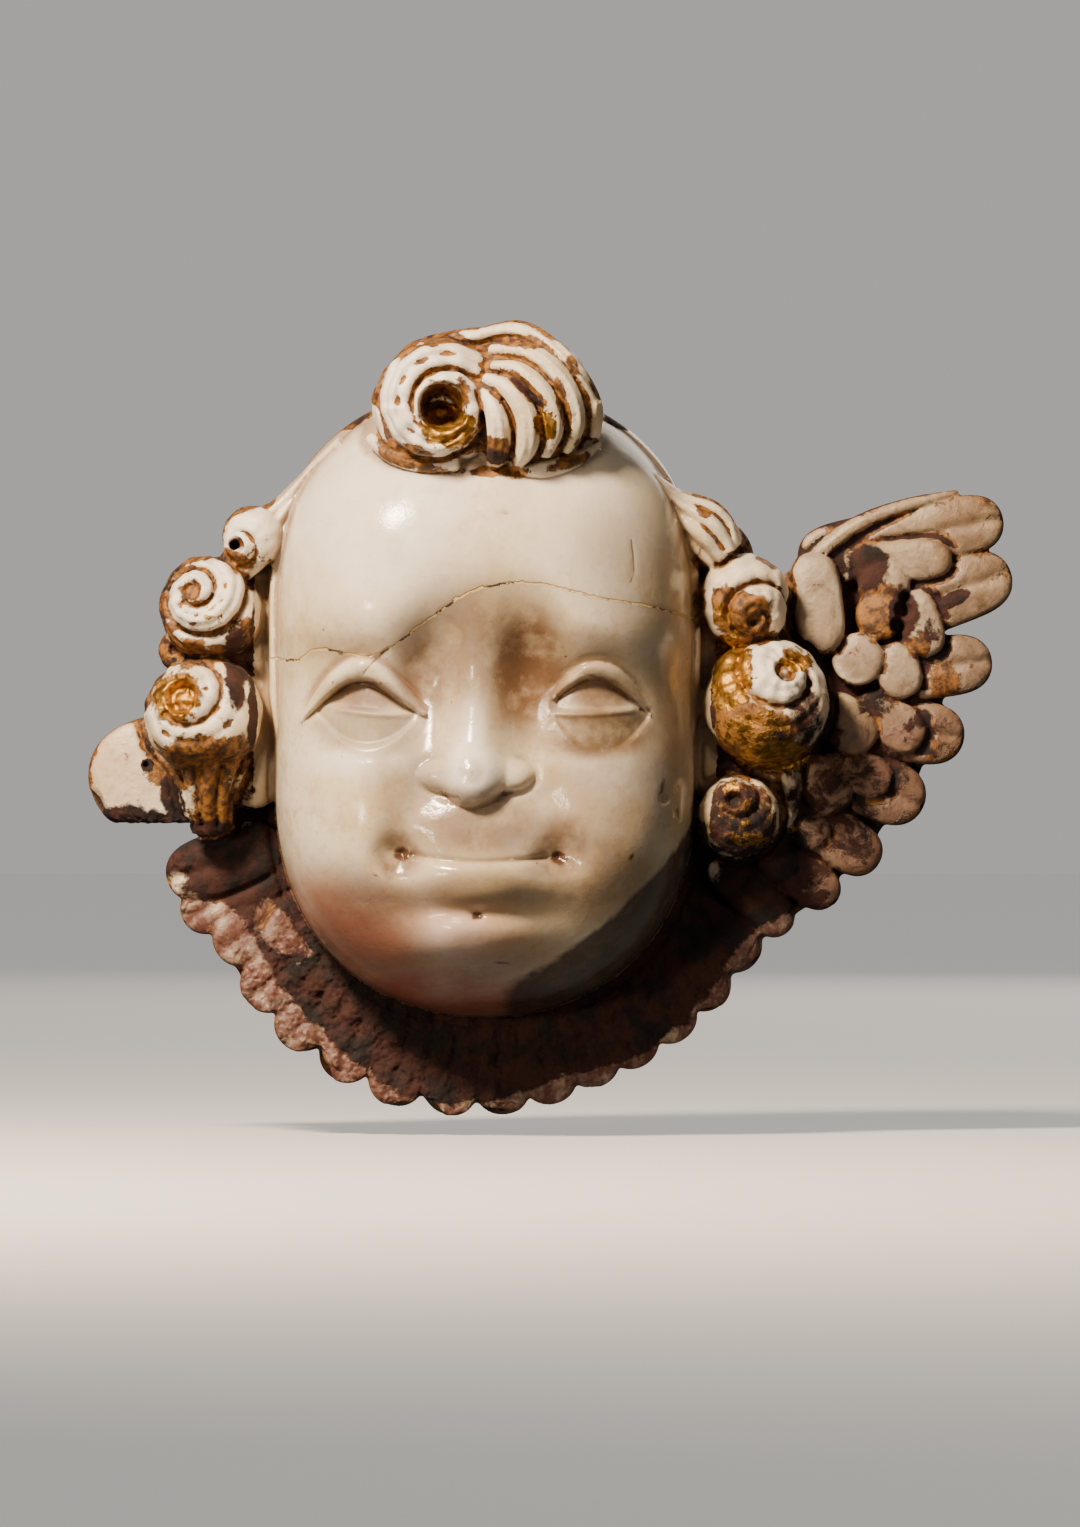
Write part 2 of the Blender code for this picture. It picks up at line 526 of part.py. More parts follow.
def plate():
    outline = bpy.data.curves.new("plate", "CURVE")
    outline.dimensions = "2D"
    outline.fill_mode = "BOTH"
    outline.extrude = (PLATE_THICK + BEHIND_WALL) / 2 * MM
    spline = outline.splines.new("POLY")
    spline.points.add(len(PLATE) - 1)
    for point, (x, z) in zip(spline.points, PLATE):
        point.co = (x * MM, z * MM, 0, 1)
    spline.use_cyclic_u = True
    swept = bpy.data.objects.new("plate", outline)
    bpy.context.scene.collection.objects.link(swept)
    bpy.context.view_layer.update()
    mesh = bpy.data.meshes.new_from_object(swept.evaluated_get(bpy.context.evaluated_depsgraph_get()))
    bpy.data.objects.remove(swept)
    middle = (PLATE_THICK - BEHIND_WALL) / 2 * MM
    mesh.transform(Matrix.Translation((0, -middle, 0)) @ Matrix.Rotation(math.pi / 2, 4, "X"))
    add_form(mesh, "plate")


plate()

BEDS = [
    (-46.0, 12.0, 13.0, 26.0, 17.0), (-40.0, 40.0, 8.0, 8.0, 14.0), (52.0, 8.0, 12.0, 26.0, 17.0),
    (46.0, 36.0, 9.0, 9.0, 15.0), (68.0, 12.0, 15.0, 24.0, 10.0), (0.0, -26.0, 43.0, 36.0, 9.0),
]


def bed(name, middle_x, middle_z, across, up, rise):
    def shape(ux, uy, uz):
        ring = np.maximum(np.hypot(ux, uz), 1e-9)
        grown = np.clip(1 - np.abs(uy) ** 6, 0, 1) ** 0.5 / ring
        out = np.where(uy < 0, rise * np.abs(uy) ** 0.6, -BEHIND_WALL * np.abs(uy) ** 0.3)
        return middle_x + across * ux * grown, out, middle_z + up * uz * grown

    moulded(name, 48, 24, shape)


for k, bed_sizes in enumerate(BEDS):
    bed(f"bed_{k}", *bed_sizes)


# Carving the block: the forms grow together, the fine steps are taken down, and the back is sawn flat.


def fused(parts, voxel):
    """One closed skin over all the parts, with no hollow inside."""
    with bpy.context.temp_override(active_object=parts[0], selected_editable_objects=parts):
        bpy.ops.object.join()
    whole = parts[0]
    remesh = whole.modifiers.new("grow_together", "REMESH")
    remesh.mode = "VOXEL"
    remesh.voxel_size = voxel * MM
    bpy.context.view_layer.update()
    mesh = bpy.data.meshes.new_from_object(whole.evaluated_get(bpy.context.evaluated_depsgraph_get()))
    bpy.data.objects.remove(whole)
    work = bmesh.new()
    work.from_mesh(mesh)
    unseen = set(work.verts)
    islands = []
    while unseen:
        island = {unseen.pop()}
        edge = list(island)
        while edge:
            near = {e.other_vert(v) for v in edge for e in v.link_edges} & unseen
            unseen -= near
            island |= near
            edge = list(near)
        islands.append(island)
    islands.sort(key=len)
    for island in islands[:-1]:
        bmesh.ops.delete(work, geom=list(island), context="VERTS")
    work.to_mesh(mesh)
    work.free()
    return mesh


def keep_fine(relief, coarse):
    """Spends more of the facets on the face's features and the curls than on the rest."""
    places = np.empty(len(relief.data.vertices) * 3)
    relief.data.vertices.foreach_get("co", places)
    x, out, z = (places.reshape(-1, 3) / MM).T
    out = -out
    featured = (out > 33) & (np.abs(x - HEAD_MIDDLE_X) < 36) & (z > -46) & (z < 20)
    for (middle_x, middle_out, middle_z), radius, *_ in CURLS.values():
        away = (x - middle_x) ** 2 + (out - middle_out) ** 2 + (z - middle_z) ** 2
        featured |= (away < (1.1 * radius) ** 2) & (out > middle_out - 2)
    ease = relief.vertex_groups.new(name="ease_of_taking_down")
    ease.add(np.flatnonzero(~featured).tolist(), 1.0, "REPLACE")
    ease.add(np.flatnonzero(featured).tolist(), 0.5, "REPLACE")
    coarse.vertex_group = ease.name
    coarse.vertex_group_factor = FACE_FACETS


def build():
    mesh = fused(forms, VOXEL)
    mesh.name = "cherub_relief"
    stone = bpy.data.materials.new("alabaster")
    stone.use_nodes = True
    shader = stone.node_tree.nodes["Principled BSDF"]
    shader.inputs["Base Color"].default_value = STONE_COLOUR
    shader.inputs["Roughness"].default_value = STONE_ROUGHNESS
    mesh.materials.clear()
    mesh.materials.append(stone)

    relief = bpy.data.objects.new("cherub_relief", mesh)
    carved = bpy.data.collections.new("cherub_wall_plaque")
    cutters = bpy.data.collections.new("cutters")
    bpy.context.scene.collection.children.link(carved)
    bpy.context.scene.collection.children.link(cutters)
    carved.objects.link(relief)

    coarse = relief.modifiers.new("take_down_steps", "DECIMATE")
    coarse.ratio = TRIANGLES / (2 * len(mesh.polygons))
    keep_fine(relief, coarse)

    wall_mesh = bpy.data.meshes.new("wall")
    work = bmesh.new()
    bmesh.ops.create_cube(work, size=1.0)
    bmesh.ops.scale(work, vec=(0.3, 0.02, 0.3), verts=work.verts)
    bmesh.ops.translate(work, vec=(0.0, 0.01, 0.0), verts=work.verts)
    work.to_mesh(wall_mesh)
    work.free()
    wall = bpy.data.objects.new("wall", wall_mesh)
    cutters.objects.link(wall)
    wall.hide_render = True
    wall.display_type = "WIRE"
    sawn = relief.modifiers.new("saw_back_flat", "BOOLEAN")
    sawn.operation = "DIFFERENCE"
    sawn.object = wall
    bpy.data.objects.remove(LOCK_OUTLINE)


build()
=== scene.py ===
import math

import bmesh
import bpy
import numpy as np
from mathutils import Matrix, Vector, noise
from mathutils.kdtree import KDTree


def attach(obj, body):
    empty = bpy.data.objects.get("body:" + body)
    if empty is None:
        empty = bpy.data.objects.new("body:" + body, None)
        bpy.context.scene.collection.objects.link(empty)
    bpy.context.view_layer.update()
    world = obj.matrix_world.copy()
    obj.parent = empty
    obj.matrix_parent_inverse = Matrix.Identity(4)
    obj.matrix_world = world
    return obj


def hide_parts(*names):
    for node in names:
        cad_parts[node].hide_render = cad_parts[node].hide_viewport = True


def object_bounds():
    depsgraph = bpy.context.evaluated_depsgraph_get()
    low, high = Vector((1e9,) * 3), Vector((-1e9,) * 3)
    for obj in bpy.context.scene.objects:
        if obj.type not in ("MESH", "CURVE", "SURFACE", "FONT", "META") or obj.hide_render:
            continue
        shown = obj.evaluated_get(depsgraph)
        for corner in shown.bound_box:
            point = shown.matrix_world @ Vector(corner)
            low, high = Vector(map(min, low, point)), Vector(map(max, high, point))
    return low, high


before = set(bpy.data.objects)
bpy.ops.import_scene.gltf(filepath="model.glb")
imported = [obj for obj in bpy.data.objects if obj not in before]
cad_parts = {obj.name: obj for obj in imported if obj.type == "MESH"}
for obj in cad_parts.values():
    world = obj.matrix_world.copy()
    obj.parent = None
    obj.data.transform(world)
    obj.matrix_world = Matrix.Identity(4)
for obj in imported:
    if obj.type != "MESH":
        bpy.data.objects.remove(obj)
cad_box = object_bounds()

# The cherub's head.
# A child's head in alabaster, carved in half round and polished. It is one block with all that follows.
# Sizes are millimetres: x to the viewer's right, z up, "out" from the wall towards the viewer.

MM = 0.001
HEAD_MIDDLE_X = 1.0
HEAD_HALF_WIDTH = 42.2
CROWN_TOP = 71.0
CHIN_BOTTOM = -55.6
STRAIGHT_SIDES = (-5, 22)
FOREHEAD_OUT = 50.0
CHEEK_OUT = 46.0
WIDEST_OUT = 10.0
ROUNDING = 0.75
HAIRLINE_OUT = 22.0
BEHIND_WALL = 3.0

forms = []


def smooth(low, high, value):
    """0 below low, 1 above high and an S-curve between. With low above high it falls instead."""
    t = np.clip((value - low) / (high - low), 0.0, 1.0)
    return t * t * (3.0 - 2.0 * t)


def tilted(x, z, middle_x, middle_z, turn=0.0):
    """The way from a middle along and across a line that a turn in degrees tips up towards the right."""
    c, s = math.cos(math.radians(turn)), math.sin(math.radians(turn))
    return (x - middle_x) * c + (z - middle_z) * s, (z - middle_z) * c - (x - middle_x) * s


def bump(x, z, middle_x, middle_z, width, height, turn=0.0):
    """A soft hill of height 1."""
    along, across = tilted(x, z, middle_x, middle_z, turn)
    return np.exp(-0.5 * ((along / width) ** 2 + (across / height) ** 2))


def through(points, steps=12):
    """A smooth line through the given points, as rows of numbers."""
    rows = np.array(points, float)
    ends = np.vstack([2 * rows[0] - rows[1], rows, 2 * rows[-1] - rows[-2]])
    line = []
    for k in range(1, len(ends) - 2):
        before, start, stop, after = ends[k - 1 : k + 3]
        for t in np.arange(steps) / steps:
            bend = (2 * before - 5 * start + 4 * stop - after) * t**2
            twist = (3 * start - before - 3 * stop + after) * t**3
            line.append(0.5 * (2 * start + (stop - before) * t + bend + twist))
    line.append(rows[-1])
    return np.array(line)


def from_line(x, z, points, steps=8):
    """The distance from a smooth line, positive on its left, and the place along it from 0 to 1."""
    line = through(points, steps)
    nearest = np.full(np.shape(x), 1e9)
    place = np.zeros(np.shape(x))
    sign = np.ones(np.shape(x))
    for k in range(len(line) - 1):
        (ax, az), (bx, bz) = line[k], line[k + 1]
        length2 = (bx - ax) ** 2 + (bz - az) ** 2
        t = np.clip(((x - ax) * (bx - ax) + (z - az) * (bz - az)) / length2, 0, 1)
        away = np.hypot(x - ax - t * (bx - ax), z - az - t * (bz - az))
        closer = away < nearest
        nearest = np.where(closer, away, nearest)
        place = np.where(closer, (k + t) / (len(line) - 1), place)
        side = (bx - ax) * (z - az) - (bz - az) * (x - ax)
        sign = np.where(closer, np.where(side < 0, -1.0, 1.0), sign)
    return nearest * sign, place


def beside(x, z, points, width, taper=0.15):
    """1 on a smooth line through the points, falling off beside it and towards its ends."""
    away, place = from_line(x, z, points)
    return np.exp(-0.5 * (away / width) ** 2) * (smooth(0, taper, place) * smooth(1, 1 - taper, place))


def placed(name, data):
    """A new object in the scene."""
    thing = bpy.data.objects.new(name, data)
    bpy.context.scene.collection.objects.link(thing)
    return thing


def moulded(name, segments, rings, shape):
    """A UV sphere whose unit points are moved by shape to x, out and z."""
    turn = np.arange(segments) * 2 * math.pi / segments
    tilt = np.arange(1, rings) * math.pi / rings
    ux = np.append(np.outer(np.sin(tilt), np.cos(turn)).ravel(), [0.0, 0.0])
    uy = np.append(np.outer(np.sin(tilt), np.sin(turn)).ravel(), [0.0, 0.0])
    uz = np.append(np.repeat(np.cos(tilt), segments), [1.0, -1.0])
    x, out, z = shape(ux, uy, uz)
    here = np.arange(segments)
    ahead = (here + 1) % segments
    rows = np.arange(rings - 2)[:, None] * segments
    bands = np.stack([rows + here, rows + segments + here, rows + segments + ahead, rows + ahead], axis=2)
    last = (rings - 2) * segments
    top = [(len(ux) - 2, int(a), int(b)) for a, b in zip(here, ahead)]
    bottom = [(len(ux) - 1, last + int(b), last + int(a)) for a, b in zip(here, ahead)]
    mesh = bpy.data.meshes.new(name)
    points = (np.stack([x, -out, z], axis=1) * MM).tolist()
    mesh.from_pydata(points, [], bands.reshape(-1, 4).tolist() + top + bottom)
    forms.append(placed(name, mesh))


def half_width(z):
    low, high = STRAIGHT_SIDES
    below = np.clip((low - z) / (low - CHIN_BOTTOM), 0, 1)
    above = np.clip((z - high) / (CROWN_TOP - high), 0, 1)
    return HEAD_HALF_WIDTH * np.sqrt(1 - below**2.65) * np.sqrt(1 - above**2.8)


def profile(z):
    """How far out the head's middle line stands, before its features are added."""
    above = np.clip((z - 30) / (CROWN_TOP - 30), 0, 1)
    below = np.clip((-15 - z) / (-15 - CHIN_BOTTOM), 0, 1)
    middle = CHEEK_OUT + (FOREHEAD_OUT - CHEEK_OUT) * smooth(-12, 30, z)
    return WIDEST_OUT + (middle - WIDEST_OUT) * np.sqrt(1 - above**2.4) * np.sqrt(1 - below**2.6)


def head(ux, uy, uz):
    z = np.where(uz > 0, uz * (CROWN_TOP - 8), uz * (8 - CHIN_BOTTOM)) + 8
    z = np.clip(z, CHIN_BOTTOM + 1e-3, CROWN_TOP - 1e-3)
    ring = np.maximum(np.hypot(ux, uy), 1e-9)
    side, front = ux / ring, -uy / ring
    x = HEAD_MIDDLE_X + half_width(z) * np.sign(side) * np.abs(side) ** ROUNDING
    depth = np.abs(front) ** ROUNDING
    ahead = WIDEST_OUT + (profile(z) - WIDEST_OUT) * depth
    behind = WIDEST_OUT - (WIDEST_OUT + BEHIND_WALL) * np.abs(front) ** 0.3
    hair = 1.3 * smooth(HAIRLINE_OUT + 1.2, HAIRLINE_OUT - 1.2, ahead) * smooth(-2, 10, z)
    x = x + hair * np.sign(side)
    out = np.where(front > 0, ahead, behind)
    return x, out, z


moulded("head", 360, 300, head)


# The face's features.
# Eyes half shut under heavy folds, a short round nose and a small smile, cut and polished with the head.
# They are heights in millimetres over the plain head, laid on once all the forms have grown together.

EYE_MIDDLE_X = 0.5
EYE = (21.8, 4.8)
EYE_HALF = (10.8, 8.4)
# For each eye, measured outwards from the face's middle: the crease and the rim of the fleshy fold over
# it, the fold's height, the sharp edge where the lid ends, the bare eye below that edge as its middle,
# bottom and half width, and the brow's height z.
EYELIDS = {
    -1: (
        [(12.4, 5), (16, 7.2), (19.4, 9.6), (23, 11.4), (27, 10.6), (31.5, 7.2), (36, 3.2)],
        [(11, 6), (15.2, 11), (20.2, 15.2), (25, 16.4), (29.6, 13.8), (32.8, 10), (36.2, 4.4)],
        3.0,
        [(14.4, 5), (19, 5), (24, 5.4), (30.4, 6.2)],
        (22.8, -1.2, 10.2),
        24.5,
    ),
    1: (
        [(14.6, 8), (17, 9.8), (20.8, 11.8), (24.6, 11.4), (28.6, 9), (33, 4.8)],
        [(14, 9), (16.2, 12.2), (20.4, 15), (25.6, 15), (29.8, 11.6), (33.4, 5.8)],
        1.8,
        [(13.8, 5.2), (18, 5.1), (23, 5.2), (31, 6)],
        (24, -2.6, 9.8),
        21.5,
    ),
}


def eye(x, z, side):
    """Relief of one eye and its socket, with x measured outwards from the face's middle."""
    px, pz = EYE
    crease, rim, height, edge, bare, brow = EYELIDS[side]
    ball = np.clip(1 - ((x - px) / EYE_HALF[0]) ** 2 - ((z - pz) / EYE_HALF[1]) ** 2, 0, 1)
    relief = (
        2.2 * bump(x, z, 24.0, brow, 11.5, 5.0)
        - 2.4 * bump(x, z, px, 9.0, 11.5, 7.0)
        - 4.2 * bump(x, z, 9.6, 12.5, 5.2, 8.2)
        - 1.4 * bump(x, z, 8.8, 20.0, 5.0, 6.0)
        + 1.6 * ball
        + 0.5 * bump(x, z, px, -4.6, 9.0, 2.6)
    )
    near = (np.abs(x - 23) < 16) & (np.abs(z - 7) < 14)
    nx, nz = x[near], z[near]
    crease_z = np.interp(nx, *through(crease).T)
    over_crease = np.where(nz > crease_z, 1, -1) * np.abs(from_line(nx, nz, crease)[0])
    rim_away, place = from_line(nx, nz, rim)
    under_rim = np.where(nz < np.interp(nx, *through(rim).T), 1, -1) * np.abs(rim_away)
    a, b = np.clip(over_crease, 0, None), np.clip(under_rim, 0, None)
    within = (nx > rim[0][0]) & (nx < rim[-1][0])
    fold = 2 * np.sqrt(a * b) / np.maximum(a + b, 0.3) * np.clip((a + b) / 3.6, 0, 1) * within
    ends = smooth(0, 0.12, place) * smooth(1, 0.88, place)
    rim_cut = 0.22 * height * np.exp(-0.5 * ((under_rim + 0.5) / 0.7) ** 2) * ends
    crease_cut = 0.9 * beside(nx, nz, crease, 0.42, 0.06)
    edge_z = np.interp(nx, *through(edge).T)
    over_edge = nz - edge_z
    first, last = edge[0][0], edge[-1][0]
    at_edge = smooth(first - 1.0, first + 1.5, nx) * smooth(last + 1.0, last - 2.5, nx)
    lid = smooth(-0.3, 1.4, over_edge) * smooth(crease_z + 0.3, crease_z - 0.5, nz) * at_edge
    low = bare[1] + (edge_z - bare[1]) * ((nx - bare[0]) / bare[2]) ** 2
    down = np.clip((edge_z - nz) / np.maximum(edge_z - low, 0.5), 0, 1)
    lens = (0.25 + 0.75 * down) * smooth(0.3, -0.1, over_edge) * smooth(low - 1.2, low + 1.0, nz)
    lens = lens * smooth(0.0, 1.4, edge_z - low)
    ridge = np.exp(-0.5 * ((over_edge + 0.1) / 0.36) ** 2) * at_edge
    relief[near] += height * fold - rim_cut - crease_cut - 1.0 * lid - 1.1 * lens + 0.45 * ridge
    return relief


# The nose's tip is x, z, radius and rise. Its base spreads to the wings: x, z, half width, half height, rise.
NOSE_TIP = (-1.2, -6.8, 6.9, 8.3)
NOSE_BASE = (-0.6, -7.4, 11.6, 4.1, 3.5)
# Height z and rise of the ridge, from the nose's base up to the brow.
NOSE_RIDGE = (
    (-12, 0), (-9.5, 4), (-6, 6.6), (-1, 5.6), (4, 4.4), (10, 2.8), (16, 1.3), (24, 0),
)
WORN_SPOT = (-1.4, -6.4, 2.7)


def nose(x, z):
    """The bridge, the round tip and the thin wings of the nose, blended into one form."""
    tip_x, tip_z, tip_radius, tip_rise = NOSE_TIP
    ridge = np.interp(z, *zip(*NOSE_RIDGE)) * np.exp(-0.5 * ((x - tip_x) / (5.0 - 0.03 * z)) ** 2)
    tip = tip_rise * np.clip(1 - ((x - tip_x) ** 2 + (z - tip_z) ** 2) / tip_radius**2, 0, 1) ** 0.6
    middle_x, base_z, base_width, base_height, base_rise = NOSE_BASE
    across = np.abs(x - middle_x)
    far = (across / base_width) ** 3 + (np.abs(z - base_z - 0.04 * across) / base_height) ** 2
    base = base_rise * np.clip(1 - far, 0, 1) ** 0.5 + 0.6 * bump(across, z, 8.6, -7.0, 2.2, 2.2)
    blend = 1.1
    joined = sum(np.exp(height / blend) for height in (ridge, tip, base))
    groove = 0.5 * np.exp(-0.5 * ((far - 1.15) / 0.22) ** 2) * smooth(6.5, 9.5, across)
    nostril = 1.0 * bump(across, z, 6.0, -11.0, 2.0, 0.8, 14)
    worn = 0.15 * smooth(WORN_SPOT[2] + 0.4, WORN_SPOT[2] - 0.4, np.hypot(x - WORN_SPOT[0], z - WORN_SPOT[1]))
    return blend * np.log(joined / 3) - groove - nostril - worn


MOUTH_X = 0.2
MOUTH_LINE = [(-14.2, -22.6), (-7.5, -23.7), (0, -24.2), (7.5, -23.9), (14.4, -23.2)]
MOUTH_CORNERS = ((-15.3, -22.5), (15.4, -23.2))
SMILE_FOLD = [(9, -7), (13, -13), (16.5, -20), (18.5, -28)]
CHIN = (-1.6, -39.8, 9.4, 4.9)


def mouth(x, z):
    across = np.abs(x - MOUTH_X)
    muzzle = np.exp(-0.5 * ((across / 12.0) ** 2 + ((z + 21.0) / 9.5) ** 2) ** 1.5)
    relief = (
        2.8 * muzzle
        + 0.8 * bump(x, z, MOUTH_X, -17.0, 6.0, 4.0)
        - 1.5 * beside(across, z, SMILE_FOLD, 3.0, 0.3)
        - 0.4 * bump(x, z, MOUTH_X, -17.5, 1.8, 3.0)
        + 3.6 * np.exp(-0.5 * (((x + 0.4) / 10.6) ** 2 + ((z + 28.6) / 4.2) ** 2) ** 1.35)
        - 0.6 * beside(x, z, MOUTH_LINE, 0.7, 0.05)
        - 0.5 * beside(x, z, MOUTH_LINE, 0.3, 0.03)
        - 1.4 * bump(x, z, MOUTH_X, -34.0, 7.0, 1.5)
        + 5.8 * np.exp(-0.5 * (((x - CHIN[0]) / CHIN[2]) ** 2 + ((z - CHIN[1]) / CHIN[3]) ** 2) ** 1.35)
        - 1.0 * bump(x, z, -0.4, -34.8, 0.9, 0.7)
    )
    for corner_x, corner_z in MOUTH_CORNERS:
        relief = relief - 2.2 * bump(x, z, corner_x, corner_z, 3.4, 2.8)
        relief = relief - 0.7 * smooth(1.6, 0.2, np.hypot(x - corner_x, 1.15 * (z - corner_z)))
    return relief


def face(x, z):
    """Everything raised or sunk on the front of the head."""
    relief = nose(x, z) + mouth(x, z)
    for side in (-1, 1):
        out_from = side * (x - EYE_MIDDLE_X)
        cheek = ((out_from - 27.0) / 11.5) ** 2 + ((z + 17.0) / 13.5) ** 2
        relief = relief + 4.8 * np.exp(-0.5 * cheek**1.4) + eye(out_from, z, side)
        relief = relief + 1.4 * bump(out_from, z, 21.0, 39.0, 13.0, 10.0)
    return relief


# The forehead was broken off and glued back: a fine open joint, with the upper piece a hair further out.
CRACK = [
    (-41.5, 16.2), (-36, 16), (-31, 18), (-23, 16.4), (-18, 18), (-15, 20), (-10, 23.8),
    (-4, 28), (2, 30.4), (8, 31), (16, 30), (24, 28), (34, 26.4), (42.5, 24.2),
]
BRANCH_CRACK = [(-18, 18), (-21, 15.4), (-23.4, 12.6)]
SHORT_CRACK = [(30, 39.6), (30.6, 34), (29.6, 30)]


# The curls.
# Balls of hair cut by a spiral groove that winds in to a drilled eye, with finer strands along the spiral.

CURL_GROOVE = 0.24


def curl(name, middle, radius, axis, hand, turns, start, eye_size, drilled=0.3, cut=1.0):
    """axis is where the curl's eye looks, as x, out and z. hand is 1 or -1, for the way it winds."""
    turned = np.array(Vector((axis[0], -axis[1], axis[2])).to_track_quat("Z", "Y").to_matrix())

    def shape(ux, uy, uz):
        from_eye = np.arccos(np.clip(uz, -1, 1))
        seen = np.where(from_eye < math.pi / 2, np.sin(from_eye), 2 - np.sin(from_eye))
        turn = hand * np.arctan2(uy, ux) / (2 * math.pi)
        phase = turn + turns * seen + start
        across = phase - np.floor(phase)
        groove = 1 - np.sin(math.pi * across) ** 0.45
        strand = 1 - np.abs(np.sin(3 * math.pi * across)) ** 0.6
        waver = 0.012 * np.sin(9 * math.pi * turn + 5 * seen) + 0.01 * np.sin(23 * math.pi * turn - 8 * seen)
        carved = smooth(1.5, 1.05, seen) * smooth(0.6 * eye_size, 1.3 * eye_size, seen)
        reach = radius * (1 + waver - carved * (CURL_GROOVE * cut * groove + 0.06 * cut * strand))
        hole = drilled * radius * smooth(eye_size, 0.55 * eye_size, seen) * (uz > 0)
        moved = turned @ np.stack([ux * reach, uy * reach, uz * reach - hole])
        return middle[0] + moved[0], middle[1] - moved[1], middle[2] + moved[2]

    moulded(name, 220, 160, shape)


CURLS = {
    "topknot_left": ((-8.6, 41, 66.6), 14, (0.12, 1, -0.08), 1, 2, 0.55, 0.4, 0.5),
    "left_small": ((-45.2, 21, 40.6), 6.6, (-0.7, 1, -0.35), 1, 1.2, 0.3, 0.3),
    "left_upper": ((-53.6, 19, 26.6), 10.6, (-0.42, 1, 0.36), -1, 1.9, 0.2, 0.22, 0.12),
    "left_ring": ((-60, 13, 17.8), 4.6, (-0.4, 1, 0.1), 1, 1.2, 0, 0.3),
    "left_lower": ((-55.4, 20, 5), 12.2, (-0.42, 1, 0.36), -1, 1.4, 0.1, 0.34, 0.2, 0.6),
    "right_upper": ((53, 19, 27.8), 9.6, (0.25, 1, -0.5), 1, 1.6, 0.5, 0.22, 0.15),
    "right_large": ((57.2, 20, 7.8), 13, (0.40, 1, 0.62), 1, 1.5, 0.4, 0.24, 0.15, 0.6),
    "right_small": ((51.4, 18, -15.2), 8.6, (-0.1, 1, 0.45), -1, 1.3, 0.2, 0.26, 0.2, 0.6),
}
for curl_name, curl_sizes in CURLS.items():
    curl(curl_name, *curl_sizes)


# The locks.
# Fluted strands of hair at the crown, the temples and under the top-knot, swept along a line.


def drawn(name, points, radii=None):
    """A curve in straight runs through points in millimetres. Without radii it is flat and closed."""
    curve = bpy.data.curves.new(name, "CURVE")
    curve.dimensions = "3D" if radii is not None else "2D"
    spline = curve.splines.new("POLY")
    spline.points.add(len(points) - 1)
    for k, point in enumerate(spline.points):
        point.co = (*(np.array(points[k]) * MM), 1)
        if radii is not None:
            point.radius = radii[k]
    spline.use_cyclic_u = radii is None
    return placed(name, curve)


def made_mesh(thing):
    """The mesh that a curve's or an object's modifiers make of it. The object itself is removed."""
    bpy.context.view_layer.update()
    mesh = bpy.data.meshes.new_from_object(thing.evaluated_get(bpy.context.evaluated_depsgraph_get()))
    bpy.data.objects.remove(thing)
    return mesh


# The outline of a lock of nine strands, of radius 1 mm, which each lock's radii enlarge.
FLUTE_TURNS = np.arange(108) * 2 * math.pi / 108
FLUTES = 0.78 + 0.22 * np.abs(np.cos(4.5 * FLUTE_TURNS)) ** 0.7
LOCK_OUTLINE = drawn("fluted_outline", [
    (r * math.cos(turn), r * math.sin(turn), 0) for r, turn in zip(FLUTES, FLUTE_TURNS)
])


def lock(name, points):
    """points are rows of x, out, z and radius."""
    line = through(points, 12)
    swept = drawn(name, line[:, :3] * (1, -1, 1), line[:, 3])
    swept.data.bevel_mode = "OBJECT"
    swept.data.bevel_object = LOCK_OUTLINE
    swept.data.use_fill_caps = True
    mesh = made_mesh(swept)
    work = bmesh.new()
    work.from_mesh(mesh)
    bmesh.ops.remove_doubles(work, verts=work.verts, dist=1e-7)
    work.to_mesh(mesh)
    work.free()
    forms.append(placed(name, mesh))


LOCKS = {
    "crown": [(-18, 36, 72, 1.4), (-12.6, 38, 76.6, 2.4), (-5, 40, 78.8, 2.5), (3, 40, 80.2, 2)],
    "under_left": [(-22, 38.5, 60, 1.2), (-17, 42, 56.6, 2.2), (-11, 44, 54.8, 2.4), (-4, 46, 54.6, 1.6)],
    "under_right": [(8, 46, 53.6, 1.4), (13, 44.4, 53.4, 2.2), (18.4, 41.6, 55.4, 2.2), (23.5, 37, 59, 1.2)],
    "left_temple": [
        (-27, 26, 59, 2), (-33, 22, 52.5, 2.6), (-38, 20, 46, 3.8), (-43.5, 20, 40, 4.6),
        (-50.5, 19, 33, 3.6),
    ],
    "left_tail": [(-54, 18, -3, 8.4), (-54.5, 17, -11, 5.6), (-53.6, 14, -18, 4.2)],
    "right_temple": [
        (25.5, 31, 57.5, 2.2), (31.5, 27, 52.5, 2.8), (38, 23, 47, 3.8), (44.6, 21, 42.4, 6),
        (49, 20, 37, 4.6),
    ],
    "right_strap": [(61, 14, -2, 3.4), (62, 12, -10, 2.6), (60.5, 11, -18, 2.2), (57, 11, -24, 1.6)],
}
for lock_name, lock_points in LOCKS.items():
    lock(lock_name, lock_points)

